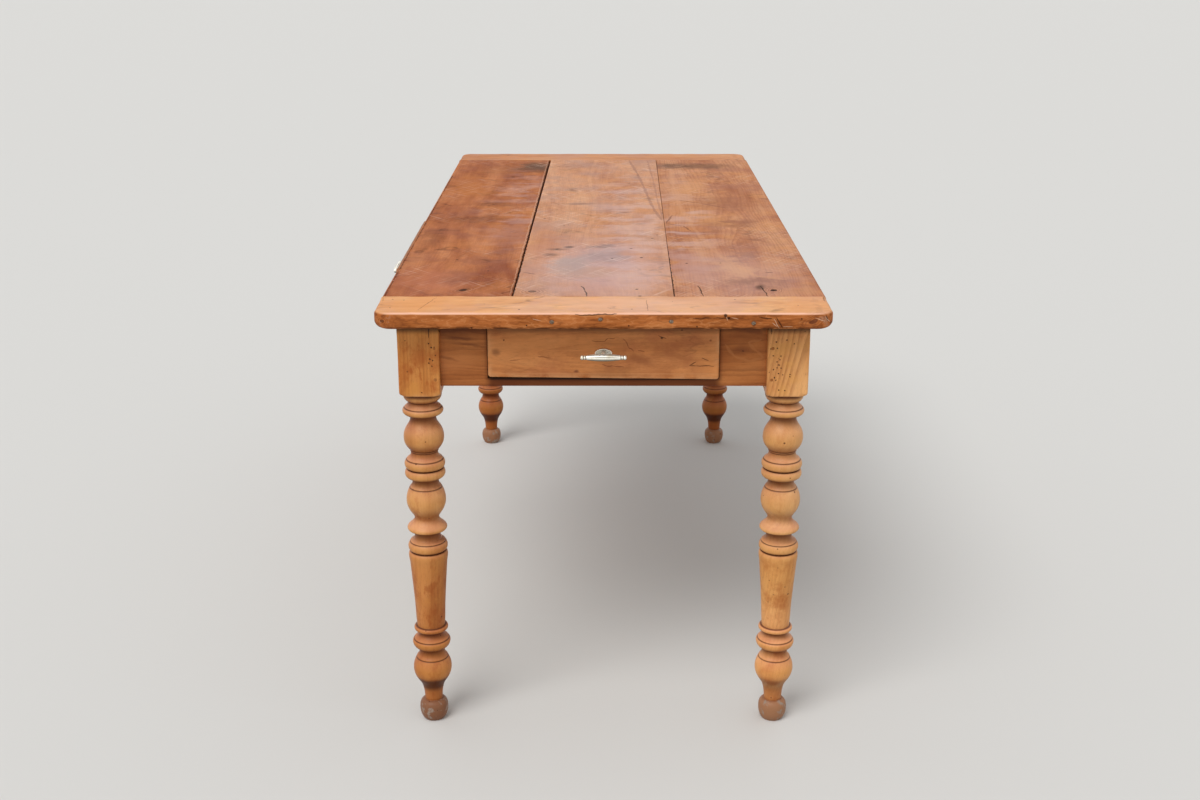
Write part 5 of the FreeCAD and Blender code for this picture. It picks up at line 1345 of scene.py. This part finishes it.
def bar_shape():
    """The bar along X: half an outline in millimetres, mirrored, turned, and laid over. Eight shallow
    grooves run along the barrel and fade towards its ends."""
    half = np.array(BARREL + TIP) / 1000
    points, faces = turning(np.vstack(([0, -0.037], (half * (1, -1))[:0:-1], half, [0, 0.037])), 96)
    x, y, z = points.T
    part = np.clip(1 - (z / 0.026) ** 2, 0, 1) ** 0.5
    groove = part * (0.5 - 0.5 * np.cos(8 * (np.arctan2(y, -x) - math.radians(43.5)))) ** 2
    inward = 1 - 0.0004 * groove / np.maximum(np.hypot(x, y), 1e-6)
    x, y = x * inward, y * inward
    waist = np.clip((0.0032 - np.hypot(x, y)) / 0.0004, 0, 1) * (np.abs(z) < 0.0325)
    # The bar's underside takes painted shade in the same mask as the grime.
    under = np.clip((-y / np.maximum(np.hypot(x, y), 1e-6) - 0.36) / 0.22, 0, 1)
    grime = np.max((waist, under, 0.85 * groove), axis=0)
    return np.column_stack((z, x, y)), faces, {"grime": grime}


def post_shape():
    """The post along -Y, from the tail behind the front to the middle of the bar."""
    steps = [(0, -27.5), (2.4, -27.5), (2.5, 0), (2.5, 3.4), (4.6, 3.4), (4.7, 4.0)]
    steps += arc((4.7, 4.0), (4.0, 5.2), (3.6, 8.6)) + [(3.6, 22.5), (3.3, 25.0), (2.6, 27.5), (0, 27.5)]
    points, faces = turning(np.array(steps) / 1000, 32)
    foot = np.clip((0.0075 - points[:, 2]) / 0.003, 0, 1) * 0.4
    return facing(points, "-y"), faces, {"grime": foot}


def rosette_shape(wide=14, high=7.2, sides=64):
    """The oval plate: insets from its outline in millimetres, raised at the rim and in the middle."""
    steps = np.array([(0, 0), (0, 1.6), (0.3, 2.3), (0.8, 2.7), (1.4, 2.7), (1.9, 2.2), (2.3, 1.6),
                      (2.8, 1.4), (3.4, 1.6), (4.0, 1.9), (4.6, 2.3), (5.4, 2.9), (6.4, 3.4)])
    inset, rise = steps.T[:, :, None]
    turn = np.arange(sides) * 2 * np.pi / sides
    shape, faces = turning(np.vstack(([0, 0], steps, [0, 3.5])), sides)
    shape[:-2] = np.stack(((wide - inset) * np.cos(turn), (high - inset) * np.sin(turn),
                           np.repeat(rise, sides, axis=1)), axis=-1).reshape(-1, 3)
    inside = 0.45 * np.clip((inset - 1.5) / 0.4, 0, 1)
    return facing(shape / 1000, "-y"), faces, {"grime": np.append(np.repeat(inside, sides), (0.45, 0.45))}


bar, post, rosette = bar_shape(), post_shape(), rosette_shape()
print("bar", len(bar[0]), "post", len(post[0]), "rosette", len(rosette[0]))

# %% Pull finish
metal = Finish("pale_metal")
tarnish = metal.noise(90.0, 3.0)
grime = metal.mask_of("grime")
metal.colour = metal.bench.ramp(tarnish, (0.3, 254, 252, 242), (0.55, 252, 247, 232),
                                (0.75, 222, 210, 182))
metal.stain(grime * 0.9, (88, 80, 58))
pale_metal = metal.close(tarnish * 0.2 + (grime * 0.35 + 0.2), 0.0, 0.5, metallic=0.6)


def place_pull(stem, origin, turned):
    """Put a pull's three parts on a drawer: origin is the middle of its plate, turned faces it left."""
    for part, (points, faces, masks) in (("bar", bar), ("post", post), ("rosette", rosette)):
        local = points - ((0, BAR_STANDS_OUT, 0) if part == "bar" else (0, 0, 0))
        if turned:
            local = np.column_stack((local[:, 1], -local[:, 0], local[:, 2]))
        put_piece(f"{stem}_pull_{part}", (local + origin, faces, masks), stem,
                  pale_metal, f"{stem}_handle_{part}")


place_pull("end_drawer", (0.0, END_FACE, FRONT_MIDDLE), False)
place_pull("side_drawer", (SIDE_FACE, side_middle, FRONT_MIDDLE), True)

# %% [markdown]
# ## Floor and light
# The table stands on a plain pale floor. A wide soft sun from above gives shape, the pale sky fills the
# shadows, and a soft box behind the table is seen only as a sheen in the wax. The camera and the metal
# see a white background, while the light that reaches the wood stays at the level where colours are true.

# %% Floor
floor_mesh = bpy.data.meshes.new("floor")
floor_mesh.from_pydata([(-60, -60, 0), (60, -60, 0), (60, 60, 0), (-60, 60, 0)], [], [(0, 1, 2, 3)])
floor = bpy.data.objects.new("floor", floor_mesh)
bpy.context.scene.collection.objects.link(floor)
ground = Finish("pale_floor")
ground.colour = tone(212, 210, 206)
floor_mesh.materials.append(ground.close(0.9, 0.001, 0.1))
print("floor laid")

# %% Lights
def lamp(name, kind, place, target, energy, **settings):
    """A lamp at a place that points at a target."""
    data = bpy.data.lights.new(name, kind)
    data.energy = energy
    for key, value in settings.items():
        setattr(data, key, value)
    made = bpy.data.objects.new(name, data)
    made.location = place
    way = np.array(target) - np.array(place)
    flat = math.hypot(way[0], way[1])
    made.rotation_euler = (math.atan2(flat, -way[2]), 0, math.atan2(way[0], -way[1]) + math.pi)
    bpy.context.scene.collection.objects.link(made)
    return made


lamp("sun", "SUN", (-2.2, -3.4, 5.4), (0, 0, 0), 1.75, angle=math.radians(34))
soft_box = lamp("soft_box", "AREA", (0.2, 8.0, 3.0), (0.0, -0.55, 0.76), 10.0, shape="RECTANGLE",
                size=2.2, size_y=1.0, color=(0.80, 0.90, 1.0))
soft_box.visible_diffuse = False
soft_box.visible_camera = False

world = bpy.data.worlds.new("studio")
world.use_nodes = True
world.node_tree.nodes.clear()
sky = Bench(world.node_tree)
path = sky.node("LightPath")
mirrored = sky.math("MAXIMUM", path["Is Glossy Ray"], path["Is Transmission Ray"])
seen = sky.math("MAXIMUM", path["Is Camera Ray"], mirrored)
fill = sky.node("Background", (0.96, 0.98, 1.0, 1.0), 0.655)[0]
white = sky.node("Background", (1.0, 1.0, 1.0, 1.0), 1.0)[0]
sky.node("OutputWorld", sky.node("MixShader", seen, fill, white)[0])
bpy.context.scene.world = world
bpy.context.scene.view_settings.view_transform = "Standard"
print("lights placed")

# %% Update the view layer
bpy.context.view_layer.update()
